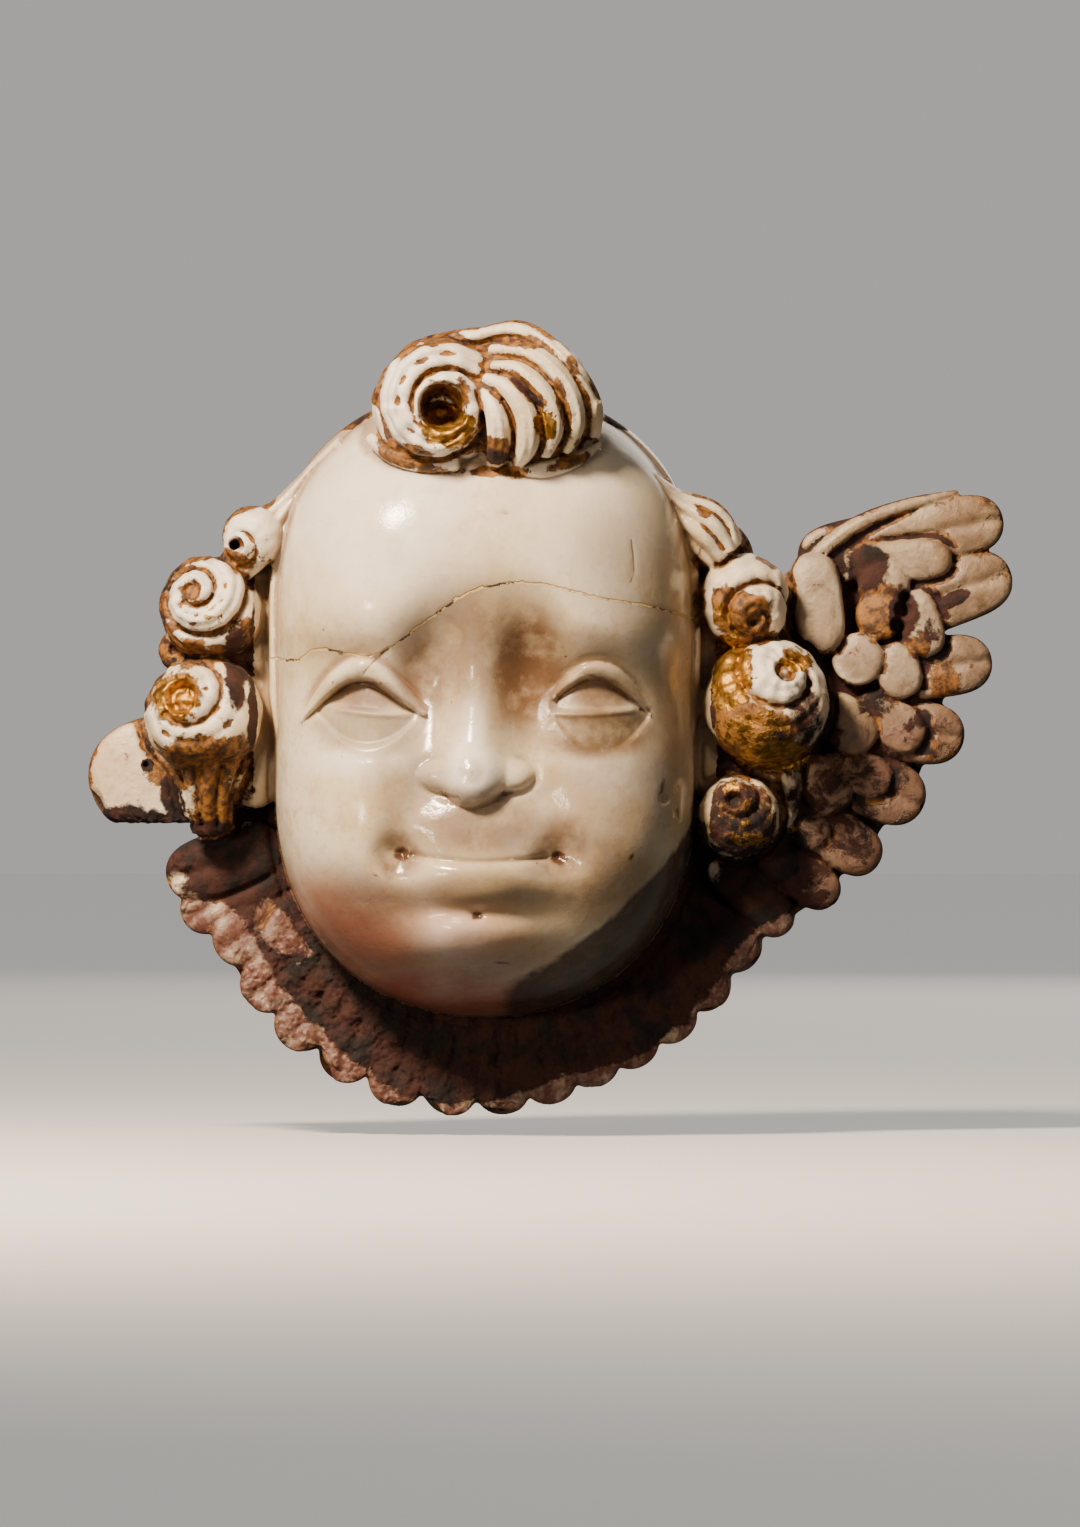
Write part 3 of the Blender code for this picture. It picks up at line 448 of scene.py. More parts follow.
# The right half of the top-knot: locks that fan from the parting over a ball. Rows are x, z and radius.
BALL = (8.4, 37.5, 66.4)
BALL_RADIUS = 14.6
FAN = [
    [(0, 80.4, 1.5), (8.6, 80.4, 2.7), (16.4, 74.2, 3), (21.6, 66.6, 2.8), (22.6, 59.6, 1.5)],
    [(2, 77, 1.2), (10, 76, 2.4), (16.2, 70.4, 2.7), (18.6, 63, 2.5), (17, 57, 1.3)],
    [(2.4, 74, 1), (8, 72.6, 2), (12.8, 68, 2.3), (14.6, 62, 2.3), (13, 56, 1.2)],
    [(1, 71.5, 1.2), (6, 69, 2.2), (9.2, 64, 2.6), (9.4, 58.6, 2.5), (7, 53.4, 1.3)],
    [(-0.4, 70, 1.2), (3.2, 65, 2.4), (4, 58.6, 2.6), (2.2, 52.6, 1.4)],
]
moulded("topknot_ball", 96, 64, lambda ux, uy, uz: (
    BALL[0] + BALL_RADIUS * ux, BALL[1] - BALL_RADIUS * uy, BALL[2] + BALL_RADIUS * uz
))
for k, strand in enumerate(FAN):
    rows = []
    for x, z, radius in strand:
        aside = (x - BALL[0]) ** 2 + (z - BALL[2]) ** 2
        rows.append((x, BALL[1] + math.sqrt(max(BALL_RADIUS**2 - aside, 9)) + 0.4, z, radius))
    lock(f"topknot_fan_{k}", rows)


# The wing, the feathered collar and the broken side.
# Feathers are flat tongues with a domed front, each standing on the block's back. The left wing is lost
# but for a stub, sheared off below, and the collar's left end is torn.


def feather(name, root, tip, half, outs, dome=2.0, vein=0.5, floor_z=None):
    """root and tip are x and z. outs are how far the rim stands out at its root and tip."""
    along = np.array(tip, float) - np.array(root, float)
    length = math.hypot(*along)
    ax, az = along / length

    def shape(ux, uy, uz):
        share = (ux + 1) / 2
        ring = np.maximum(np.hypot(uy, uz), 1e-9)
        front, side = uz / ring, uy / ring
        blunt = np.clip(1 - np.abs(ux) ** (length / half), 0, 1) ** 0.5
        reach = np.where(front > 0, np.abs(side) ** 0.9, np.abs(side) ** 0.3)
        across = half * blunt * np.sign(side) * reach
        rim = outs[0] + (outs[1] - outs[0]) * share
        quill = vein * np.exp(-0.5 * (across / 0.8) ** 2) * smooth(0.15, 0.4, share)
        top = rim + (dome * blunt - quill) * np.abs(front) ** 0.8
        back = rim - (rim + BEHIND_WALL) * np.abs(front) ** 0.3
        out = np.where(front > 0, top, back)
        x = root[0] + ax * share * length - az * across
        z = root[1] + az * share * length + ax * across
        if floor_z is not None:
            z = np.maximum(z, floor_z + 0.35 * np.sin(1.9 * x) * np.sin(0.8 * out + 1.0))
        return x, out, z

    moulded(name, 110, 80, shape)


# The right wing's flight feathers, from the top edge downwards: root, tip and half width.
FLIGHT = [
    ((64, 36), (105, 44.6), 6.3),
    ((80, 24), (106.5, 34), 6.6),
    ((78, 13), (102.8, 16), 6.2),
    ((74, 4), (97.2, 0.2), 6.4),
    ((68, -4), (89, -13.5), 6.6),
    ((60, -12), (80, -25), 5.6),
    ((54, -18), (71.4, -32.7), 4.8),
    ((47, -23), (62, -38.4), 4.8),
]
for k, (root, tip, half) in enumerate(FLIGHT):
    feather(f"flight_{k}", root, tip, half, (10.0, 9.0 - 0.15 * k))

# Coverts: shorter scales that lie over the flight feathers, each row higher than the one it covers.
COVERTS = [
    ((74, 35.5), (94.6, 36.5), 3.6, 11), ((76, 30), (86, 33), 4.2, 11.6),
    ((86, 30), (90.6, 17), 3.6, 11.4), ((76, 27.5), (84.5, 22.5), 4.4, 12.2),
    ((82, 20), (85.4, 8.4), 4, 11.6), ((72, 20), (79.5, 12.5), 4.6, 12.4),
    ((76, 9), (88.5, -1), 4.2, 10.8), ((68, 8), (78.5, -1.5), 4.6, 11.8),
    ((70, -2), (82, -10), 4, 10.6), ((64, -4), (73, -14), 4.4, 11.2),
    ((60, -12), (69, -21), 4, 10.4), ((56, -18), (62, -28), 3.8, 10),
]
for k, (root, tip, half, rise) in enumerate(COVERTS):
    feather(f"covert_{k}", root, tip, half + 0.6, (rise - 0.4, rise + 0.2), 1.8, 0.0)

feather("wing_shoulder", (69.0, 17.0), (66.5, 38.0), 5.0, (12.0, 11.0), 3.8, 0.0)
lock("leading_edge", [
    (62, 10, 30.5, 1.4), (68, 11, 37.4, 1.9), (76, 11, 43.4, 1.8), (86, 10, 47.2, 1.5), (96, 9, 49.6, 0.8),
])

# The collar's feathers fan out below the head. Tips are x and z, from right to left.
COLLAR_TIPS = [
    (56, -44), (49.2, -52.6), (41.6, -59.6), (33.2, -65.2), (24.6, -69.4),
    (15.2, -73), (4.8, -75.4), (-6.4, -75.4), (-18.4, -73.4), (-29.4, -68.2), (-39.2, -61.4),
    (-46.8, -52.8), (-53, -42.6),
]
COLLAR_CENTRE = np.array([0.0, -12.0])
for k, tip in enumerate(np.array(COLLAR_TIPS)):
    feather(f"collar_{k}", tip + (COLLAR_CENTRE - tip) * 0.36, tip, 6.2, (7.0, 9.0 + 0.5 * (k % 2)), 1.3)
    if k < len(COLLAR_TIPS) - 1:
        inner = COLLAR_CENTRE + ((tip + COLLAR_TIPS[k + 1]) / 2 - COLLAR_CENTRE) * 0.84
        feather(f"collar_inner_{k}", inner * 0.7, inner, 5.0, (8.4, 9.4), 0.9)

feather("left_stub", (-40.0, -2.0), (-78.6, -9.4), 11.8, (10.0, 7.0), 2.5, 0.0, floor_z=-16.6)
feather("torn_end", (-40.0, -20.0), (-62.8, -28.6), 6.4, (9.0, 8.0), 2.0)
feather("torn_end_lower", (-38.0, -24.0), (-59.6, -36.4), 5.6, (8.0, 7.5), 1.6)

# The block itself: a plate under the wing and collar, and thicker beds under the curls.
PLATE_THICK = 7.5
PLATE = [
    (-30, 55), (-38, 46), (-44, 45), (-49.5, 40), (-53, 34.5), (-60.5, 27.5), (-63, 20), (-63, 14),
    (-65.5, 7), (-64, -8), (-54, -18), (-53, -22), (-60, -26.5), (-58.4, -34), (-53.4, -39),
    (-47.2, -48.6), (-40.4, -55.4), (-31, -63), (-19, -69.5), (-6, -73), (5, -73), (16, -70.2),
    (26.4, -65.6), (36, -60), (44.6, -53.6), (51.4, -46.6), (58, -38.6), (67.4, -32.4), (78, -21.6),
    (88.4, -6.4), (93, 8), (92.4, 21), (97, 29), (100.4, 38.6), (97, 47), (84, 46), (72, 41), (63.5, 33),
    (61, 31), (55, 35.5), (46, 42.5), (36, 50), (26, 58),
]
plate = drawn("plate", [(x, z, 0) for x, z in PLATE])
plate.data.fill_mode = "BOTH"
plate.data.extrude = (PLATE_THICK + BEHIND_WALL) / 2 * MM
plate_mesh = made_mesh(plate)
plate_middle = (PLATE_THICK - BEHIND_WALL) / 2 * MM
plate_mesh.transform(Matrix.Translation((0, -plate_middle, 0)) @ Matrix.Rotation(math.pi / 2, 4, "X"))
forms.append(placed("plate", plate_mesh))

# Rows are the middle's x and z, half width, half height and how far out.
BEDS = [
    (-46, 12, 13, 26, 17), (-40, 40, 8, 8, 14), (52, 8, 12, 26, 17),
    (46, 36, 9, 9, 15), (68, 12, 15, 24, 10), (0, -26, 43, 36, 9),
]


def bed(name, middle_x, middle_z, across, up, rise):
    def shape(ux, uy, uz):
        ring = np.maximum(np.hypot(ux, uz), 1e-9)
        grown = np.clip(1 - np.abs(uy) ** 6, 0, 1) ** 0.5 / ring
        out = np.where(uy < 0, rise * np.abs(uy) ** 0.6, -BEHIND_WALL * np.abs(uy) ** 0.3)
        return middle_x + across * ux * grown, out, middle_z + up * uz * grown

    moulded(name, 96, 48, shape)


for k, bed_sizes in enumerate(BEDS):
    bed(f"bed_{k}", *bed_sizes)


# Carving the block.
# All the forms grow together into one skin, which is then worked over point by point: the face, the
# crack, worn and broken places. The back is sawn flat.

GRAIN = 0.36
FACETS = 193000

with bpy.context.temp_override(active_object=forms[0], selected_editable_objects=forms):
    bpy.ops.object.join()
remesh = forms[0].modifiers.new("grow_together", "REMESH")
remesh.mode = "VOXEL"
remesh.voxel_size = GRAIN * MM
stone_mesh = made_mesh(forms[0])
bpy.data.objects.remove(LOCK_OUTLINE)

work = bmesh.new()
work.from_mesh(stone_mesh)
bmesh.ops.delete(work, geom=[v for v in work.verts if v.co.y > 0.8 * MM], context="VERTS")
work.to_mesh(stone_mesh)
work.free()

count = len(stone_mesh.vertices)
places = np.empty(count * 3)
stone_mesh.vertices.foreach_get("co", places)
places = places.reshape(-1, 3) / MM
edges = np.empty(len(stone_mesh.edges) * 2, int)
stone_mesh.edges.foreach_get("vertices", edges)
edges = edges.reshape(-1, 2)
neighbours = np.bincount(edges.ravel(), minlength=count)


def eased(values, rounds, amount=0.5):
    """Values at the mesh's points, each drawn towards the mean of its neighbours."""
    for _ in range(rounds):
        total = np.bincount(edges[:, 0], values[edges[:, 1]], count)
        total += np.bincount(edges[:, 1], values[edges[:, 0]], count)
        values = values + amount * (total / np.maximum(neighbours, 1) - values)
    return values


places = np.stack([eased(places[:, k], 3) for k in range(3)], axis=1)
x, out, z = places[:, 0].copy(), -places[:, 1].copy(), places[:, 2].copy()


def plain_head(x, z):
    """The plain head's front at x and z: how far out it stands, and 1 at its middle to 0 at its edge."""
    inside = (z > CHIN_BOTTOM) & (z < CROWN_TOP)
    z = np.clip(z, CHIN_BOTTOM + 0.01, CROWN_TOP - 0.01)
    width = np.maximum(half_width(z), 0.01)
    side = np.clip(np.abs(x - HEAD_MIDDLE_X) / width, 0, 1) ** (1 / ROUNDING)
    depth = (1 - side**2) ** (0.5 * ROUNDING)
    return WIDEST_OUT + (profile(z) - WIDEST_OUT) * depth, depth * inside


front, depth = plain_head(x, z)
on_skin = smooth(1.1, 0.45, np.abs(out - front)) * smooth(0.1, 0.3, depth) * (out > 14)
crack_away = from_line(x, z, CRACK)[0]
branch_away = from_line(x, z, BRANCH_CRACK)[0]
short_away, short_place = from_line(x, z, SHORT_CRACK)
finished = front + face(x, z) * smooth(0.0, 0.55, depth)
finished += 0.10 * smooth(-0.1, 0.25, crack_away) * smooth(9, 1, crack_away)
finished -= 0.2 * np.exp(-0.5 * (branch_away / 0.3) ** 2)
finished -= 0.15 * np.exp(-0.5 * (short_away / 0.25) ** 2) * smooth(1, 0.7, short_place)
# The whole of the bare head, also where it turns away at the jaw and temples.
inside_z = np.clip(z, CHIN_BOTTOM + 0.1, CROWN_TOP - 0.1)
aside = np.abs(x - HEAD_MIDDLE_X) / np.maximum(half_width(inside_z), 1)
ahead = np.clip((out - WIDEST_OUT) / np.maximum(profile(inside_z) - WIDEST_OUT, 1), 0, 2)
head_zone = smooth(0.34, 0.2, np.abs(aside ** (2 / ROUNDING) + ahead ** (2 / ROUNDING) - 1))
head_zone = np.maximum(head_zone * smooth(10.4, 12.4, out) * (z > CHIN_BOTTOM - 0.6) * (z < 62), on_skin)
out = out + (finished - out) * on_skin

# Chips out of the right cheek's edge, a drilled hole in the left temple's lock, and pits in the curls' eyes.
# Rows are x, z, radius and depth.
PITS = [
    (36.6, -11.6, 1.4, 0.8), (39, -14.6, 1, 0.7), (37.6, -17, 0.8, 0.5), (-49, 39, 1.3, 5.5),
    (-7.6, 64.6, 2.8, 3.5), (-4.4, 63.6, 2, 3), (84.8, 26, 2.2, 1.6), (83.8, 23, 2, 1.6),
    (85.2, 28.6, 1.4, 1.2), (-67, -5, 0.8, 0.8),
]
for pit_x, pit_z, pit_radius, pit_depth in PITS:
    out = out - pit_depth * smooth(pit_radius, 0.4 * pit_radius, np.hypot(x - pit_x, z - pit_z)) * (out > 5)

# The front's depth map, in cells that each hold the height of what stands farthest out there.
CELL = 0.5
MARGIN = 20
low_x, low_z = x.min() - MARGIN, z.min() - MARGIN
across_cells = int((x.max() + MARGIN - low_x) / CELL) + 1
up_cells = int((z.max() + MARGIN - low_z) / CELL) + 1
cell = ((x - low_x) / CELL).astype(int) * up_cells + ((z - low_z) / CELL).astype(int)
waves = np.fft.fftfreq(across_cells, CELL)[:, None] ** 2 + np.fft.fftfreq(up_cells, CELL)[None, :] ** 2


def depth_map():
    heights = np.zeros(across_cells * up_cells)
    np.maximum.at(heights, cell, out)
    return heights.reshape(across_cells, up_cells)


def blurred(values, reach):
    return np.real(np.fft.ifft2(np.fft.fft2(values) * np.exp(-2 * (math.pi * reach) ** 2 * waves)))


def sampled(values):
    """A map's values at the mesh's points, between its cells."""
    a = (x - low_x) / CELL - 0.5
    b = (z - low_z) / CELL - 0.5
    i, j = np.floor(a).astype(int), np.floor(b).astype(int)
    a, b = a - i, b - j
    left = values[i, j] * (1 - b) + values[i, j + 1] * b
    right = values[i + 1, j] * (1 - b) + values[i + 1, j + 1] * b
    return left * (1 - a) + right * a


def sunk(reach):
    """How far each point lies below the mean of its surroundings."""
    return sampled(blurred(relief_map, reach) / np.maximum(blurred(covered, reach), 0.15)) - out


def spread(values, cells, pick):
    """Each cell takes the highest or lowest value within so many cells of it."""
    for _ in range(cells):
        for axis in (0, 1):
            values = pick(pick(values, np.roll(values, 1, axis)), np.roll(values, -1, axis))
    return values


relief_map = depth_map()
covered = (relief_map > 0).astype(float)
recess_near, recess_wide = sunk(1.3), sunk(5.0)

# The chisel left the steps between feathers and strands crisp: each is cut a little deeper than it grew.
rough = 1 - on_skin
on_collar = smooth(-22, -30, z + 0.2 * np.abs(x))
chiselled = (0.55 - 0.45 * on_collar) * rough * np.clip(recess_near, -0.9, 1.6)
out = out - chiselled * smooth(1.5, 4, out) * smooth(-4, -1, -np.abs(recess_near))
relief_map = depth_map()
recess_near = sunk(1.2)

# Crevices are the feet of steps: something near stands well above them, and nothing lies below.
step_up = sampled(spread(relief_map, 3, np.maximum)) - out
step_down = out - sampled(spread(relief_map, 2, np.minimum))
crevice = smooth(0.45, 1.1, step_up) * smooth(0.7, 0.2, step_down) * rough
near_rim = smooth(0.97, 0.75, sampled(blurred(covered, 1.6)))
hidden = smooth(1.5, 4.0, sampled(relief_map) - out)
out = out - 0.35 * crevice * smooth(2, 4, out)


def lumpy(scale, share):
    """An uneven height at each point. The scale is lumps a millimetre, the share how much finer ones add."""
    spots = zip(x * scale, out * scale, z * scale)
    return np.array([noise.fractal(Vector(spot), share, 2.1, 3) for spot in spots])


# The unpolished parts are pitted and a little lumpy, and the broken edges are rough.
stub_end = smooth(-13.5, -16.0, z) * smooth(-19.0, -17.0, z) * (x < -55)
collar_end = smooth(-56, -60, x) * smooth(-19, -22, z) * smooth(-42, -38, z)
broken = rough * np.clip(stub_end + collar_end, 0, 1)
collar_side = smooth(-24, -32, z + 0.25 * np.abs(x)) * rough
amount = rough * (0.07 + 0.3 * collar_side + 0.45 * broken)
out = out + np.where(out > 1.5, amount * (lumpy(0.55, 0.7) + 0.7 * lumpy(1.7, 0.6)), 0)

# The thin rims of the collar and lower wing are nibbled away here and there.
NIBBLE = 1.5
rim_noise = np.array([noise.noise(Vector(spot)) for spot in zip(x * 0.16, out * 0.05, z * 0.16)])
nibbled = smooth(0.05, 0.5, rim_noise) * near_rim * smooth(-14, -20, z + 0.2 * x)
nibbled = nibbled * smooth(1.0, 2.5, out) * rough
from_x, from_z = x - COLLAR_CENTRE[0], z - COLLAR_CENTRE[1]
x = x - NIBBLE * nibbled * from_x / np.hypot(from_x, from_z)
z = z - NIBBLE * nibbled * from_z / np.hypot(x - COLLAR_CENTRE[0], from_z)

# Nothing stands past the block that the relief was cut from. Behind, it is sawn later.
block_low, block_high = np.array(cad_box[0]) / MM, np.array(cad_box[1]) / MM
worked = np.clip(np.stack([x, -out, z], axis=1), block_low, block_high + np.array([0, 9, 0]))
stone_mesh.vertices.foreach_set("co", (worked * MM).ravel())
stone_mesh.update()
facing = np.empty(count * 3)
stone_mesh.vertices.foreach_get("normal", facing)
facing = facing.reshape(-1, 3)


# The remains of colour, with painted light and shade.
# Leaf gold over an orange-brown earth ground survives in patches on the curls, brown-black grime and old
# varnish lie in the hollows, with painted shade behind the curls and in the collar, and the bare stone is
# ivory, with a mauve-pink tone on the collar and painted reddish light on the jaw.
# Rows are x, z, half width, half height, strength and, for a tilted patch, its turn in degrees.


def patches(rows):
    strength = np.zeros(count)
    for middle_x, middle_z, width, height, most, *turn in rows:
        along, across = tilted(x, z, middle_x, middle_z, *turn)
        strength = np.maximum(strength, most * smooth(1.5, 0.5, np.hypot(along / width, across / height)))
    return strength


GOLD = [
    (49.6, 13.6, 4.6, 8, 1), (59, -3.2, 8.2, 3, 0.95), (63.2, 15.6, 3.2, 2.2, 0.9), (54.4, 2, 8, 4.4, 0.55),
    (51.6, -14.4, 6.8, 8.2, 0.3), (50.4, -9.6, 2, 1.6, 0.7), (54, -20, 4.6, 1.8, 0.6),
    (-6, 61.6, 5.4, 4.2, 1), (13, 62, 2.4, 3, 0.95), (-60.4, 8.4, 4.8, 5, 0.85), (-7.6, 69, 4.8, 2.2, 0.5),
    (-52.6, 25, 6, 2, 0.4, -30), (48, 25, 3, 3, 0.5), (-44, 36.6, 3.2, 3, 0.35),
]
EARTH = [
    (50.6, 26, 8.2, 4.6, 1, -10), (54.6, 0.6, 10, 6.4, 0.95), (49.4, 12, 4.8, 9, 0.95),
    (51.6, -15, 7.6, 7.6, 0.85), (80, 25.6, 6.8, 5.8, 0.9), (93, 11, 3.6, 4.4, 0.85), (88, 19, 3, 4, 0.6),
    (-56, -4.6, 11.4, 5.4, 0.95, 8), (-53, -15, 6, 8, 0.9), (-60, 17.6, 5.6, 3.8, 0.75),
    (-57.6, 30, 2.4, 2.2, 0.85), (-48.4, 36.2, 4, 1.6, 0.8, -25), (-62, 22.4, 3, 1.2, 0.85, 10),
    (-60.6, 8.4, 5.2, 5.4, 0.8), (-46.4, 20, 3.4, 7, 0.7), (-14, 56, 6.2, 2.6, 0.85, -20),
    (9.4, 69, 5.4, 1.5, 0.9, -43), (16.6, 65.6, 1.4, 6, 0.8, 14), (7.4, 78.8, 5.6, 1.3, 0.8, -8),
    (-9.6, 78.4, 1.8, 1, 0.8), (18.4, 74, 1.3, 2.4, 0.7, 30), (22, 58.6, 3, 1.4, 0.85),
    (33, 54.6, 1.8, 1.2, 0.9, -40), (36, 50.4, 2.4, 1.3, 0.9, -40), (44.6, 45.4, 1.7, 1.1, 0.85, -30),
    (2, 57, 6, 3, 0.8), (92, -2, 4, 3, 0.6), (-3.4, 68.4, 2, 5, 0.5), (62.4, 17, 2.6, 2, 0.7),
]
DARK = [
    # The second patch on this row is painted shadow under the large right curl.
    (84.8, 25.4, 3, 5.4, 1), (51.6, -15, 8, 8.6, 0.6), (77.6, 34.6, 4.6, 4.6, 0.85),
    (95, 28.4, 3.6, 1.5, 0.85, 25), (66, 0, 8, 12, 0.5), (70, -14, 13, 12, 0.5, 35),
    (57, -27, 11, 9, 0.95, 35), (-61.6, -12, 2.6, 4.8, 0.95, 20), (-66.8, -5, 1.4, 1.4, 0.8),
    (-7.4, 64.6, 4.2, 2.6, 0.9, -10), (2, 55, 5, 2.4, 0.85), (9.6, 68.4, 4.6, 0.9, 0.8, -43),
    (-48, -10, 4, 10, 0.45), (59, 1.2, 7, 2.2, 0.55, 5), (51, -21, 8, 4, 0.6), (88, 4, 4, 2, 0.7, 40),
    (90.5, 22, 2.4, 3, 0.6), (-48.6, 16, 2.6, 10, 0.75), (84, -12, 3, 5, 0.4), (79, 8, 4, 4, 0.55),
    # The first two patches on this row are painted shadow beside the head, behind the curls.
    (-44.6, 8, 1.7, 26, 0.8), (45.4, 6, 1.5, 28, 0.8), (-34, -46, 8, 4, 0.75, -45),
    (-52, -28, 8, 5, 0.8, 15),
]
HAIRLINE = [
    (-13, 54.6, 8, 1.4, 0.75, -14), (3, 53, 9, 1.3, 0.7), (17, 54.6, 6, 1.4, 0.7, 20),
    (-42.6, 34, 1.6, 10, 0.45), (43.6, 30, 1.6, 12, 0.5),
]
# Painted reddish light on the lower left of the jaw and at the stub's end.
REDDISH_LIGHT = [
    (-73, -8, 9, 9, 0.2), (-24, -42, 22, 9, 0.7, -40), (-6, -51, 22, 6, 1, -4),
    (-12, -42, 26, 12, 0.4, -12),
]
MAUVE_FILM = [
    (-40, -38, 8, 4.4, 0.9, -40), (-50, -43, 4, 4, 0.9, -50),
]

hair_zone = smooth(0.5, 0.1, head_zone)
gold, earth, dark = (patches(rows) * hair_zone for rows in (GOLD, EARTH, DARK))

rim_line = [(62, -38.4)] + COLLAR_TIPS + [(-59.6, -36.4)]
rim_away, rim_place = from_line(x, z, rim_line)
in_collar = smooth(-19, -25, z + 0.12 * x) * hair_zone * smooth(24, 18, out)
rim_width = 3.6 + 5.5 * smooth(0.6, 0.95, rim_place) + 1.2 * np.sin(19 * rim_place)
from_rim = np.clip(-rim_away, -9, 60)
# Inside its rim the collar is dark: grime, and painted shade under the head.
dark = np.maximum(dark, in_collar * smooth(rim_width - 2.4, rim_width + 2.4, from_rim))
dark = dark * (1 - 0.85 * patches(MAUVE_FILM))
on_wing = smooth(60, 66, x) * hair_zone
lower_wing = on_wing * smooth(8, -6, z - 0.25 * (x - 70))
# Under its grime the collar's stone is mauve-brown, but for a fresh chip on the torn end.
mauve = in_collar * (1 - smooth(-56, -60, x) * smooth(-32, -28, z))
mauve = np.maximum(mauve, lower_wing * 0.75)
# Painted shade, with some grime, in the deep gaps between the head and its curls.
behind_face = smooth(2.5, 7.5, recess_wide) * hair_zone * (np.abs(x - 1) < 60) * smooth(42, 34, z)
underside = smooth(0.15, 0.8, -facing[:, 2]) * hair_zone * smooth(4, 9, out)
earth = np.maximum.reduce([
    earth,
    hair_zone * (0.14 + 0.62 * smooth(0.15, 0.7, recess_near)),
    on_wing * (0.34 - 0.3 * smooth(0.1, -0.2, recess_near)),
    hair_zone * 0.85 * crevice,
    patches(HAIRLINE),
    0.42 * underside * (np.abs(x) > 40) * (z > -30),
])
dark = np.maximum.reduce([
    dark,
    0.95 * behind_face,
    on_wing * 0.8 * smooth(0.3, 0.9, recess_near),
    lower_wing * (0.5 - 0.35 * smooth(-0.05, -0.4, recess_near) - 0.4 * near_rim),
    hair_zone * 0.5 * smooth(0.9, 2.0, recess_near),
    hair_zone * crevice * (0.35 + 0.5 * on_wing) * smooth(0.6, 1.6, step_up),
])
# Sides and backs that nobody sees or touches kept less grime.
dark = dark * (1 - 0.75 * hidden)
earth = earth * (1 - 0.45 * hidden)

# A dark grey-brown band runs along the right of the jaw, below this line: painted shade where the jaw turns
# away from the light, over some real staining.
JAW_SHADE_EDGE = [
    (42.4, -16), (37.4, -23.6), (31, -30.2), (23.4, -37.4), (12.2, -44.8), (2.2, -49), (-10.2, -51.6),
]
below_edge = np.where(z < np.interp(x, *np.array(JAW_SHADE_EDGE)[::-1].T), 1.0, -1.0)
below_edge *= np.abs(from_line(x, z, JAW_SHADE_EDGE)[0])
jaw_shade_and_stain = smooth(-1.0, 1.4, below_edge) * head_zone * smooth(0, 10, x) * (z < -14)

# The face's own stains, small brown spots, but for two marks of painted shade in the nostrils, and a broad
# amber-brown
# tone around the lids, nose and mouth: real staining on the lids and eyes, and painted shade in the sockets
# beside the nose, under the nose and the lower lip, at the mouth's corners and down the face's right side.
BROWN_SPOTS_AND_NOSTRIL_SHADE = [
    (-15.4, -22.6, 2, 1.5, 0.85), (15.8, -23.4, 2, 1.4, 0.85), (-17.8, -26, 1.8, 2.4, 0.5, 20),
    (-0.4, -34.8, 1.3, 0.8, 0.95), (5.6, 45.2, 0.8, 0.8, 0.95), (30, -23, 0.8, 0.8, 0.9),
    # The marks at x -5.8 and 5.8 on this row are painted shade in the nostrils.
    (-1.4, -6.4, 1, 1, 0.5), (-5.8, -11, 2.8, 0.7, 0.7, -20), (5.8, -10.4, 2.6, 0.7, 0.6, 15),
    (8.6, 6.2, 0.8, 0.6, 0.6), (-21.4, 11.2, 4, 0.5, 0.6), (-15, 7.2, 3, 0.5, 0.65, -42),
    (-31.6, 5.8, 4.8, 0.4, 0.5, 40), (24, 12.2, 5, 0.4, 0.45, -15), (31, 7.6, 3.4, 0.4, 0.4, -48),
    (27, -17, 0.6, 0.6, 0.6), (36.4, -9.2, 0.7, 1.8, 0.7, -20), (39.4, -14.6, 0.5, 2.4, 0.6, 10),
    (-20.4, -27, 0.6, 0.8, 0.6), (4.4, -44.4, 2.6, 0.5, 0.55, -8),
]
# Painted shade in the sockets beside the nose, under the nose and lower lip, at the mouth's corners and down
# the right side, over real amber staining on the lids.
AMBER_AND_SHADE = [
    (-23, 8.6, 7.5, 3.6, 0.85), (24, 9, 7.6, 3.8, 0.85), (-22, 2, 9.6, 3.8, 0.55), (23.5, 1.4, 12, 5.6, 1),
    (9.5, 14, 9, 14, 0.95), (-11, 13, 5.5, 9, 0.8, 15), (-1, 19, 14, 13, 0.72), (18, 17, 10, 6, 0.55, 10),
    (-16, -22.5, 5, 5, 0.8), (16.5, -21, 7, 8, 0.8), (-1.4, -6.4, 2.6, 2.6, 0.45), (0, -17, 15, 7, 0.72),
    (22, -26, 14, 10, 0.65), (0.5, -30, 13, 5, 0.55), (6, -41, 14, 7, 0.3), (-29, 18.6, 14, 2.6, 0.35),
    (30, 34, 12, 14, 0.35), (34, -2, 7, 20, 0.5), (-22, -36, 13, 9, 0.7, -30), (-14, -9, 8, 12, 0.5),
    (25, -12, 14, 13, 0.5),
]
# The lids and bare eyes were left duller than the skin around them, and a little olive.
DULL = [
    (-22.5, 4.6, 9.6, 6.4, 1), (24, 4.4, 9.6, 6.6, 1), (10, 12, 7, 10, 0.6),
]
OLIVE = [
    (-22.4, 2.2, 9.8, 3.6, 0.6), (24.4, 1.4, 9.4, 4.2, 0.45), (34, 12, 5, 18, 0.4),
]
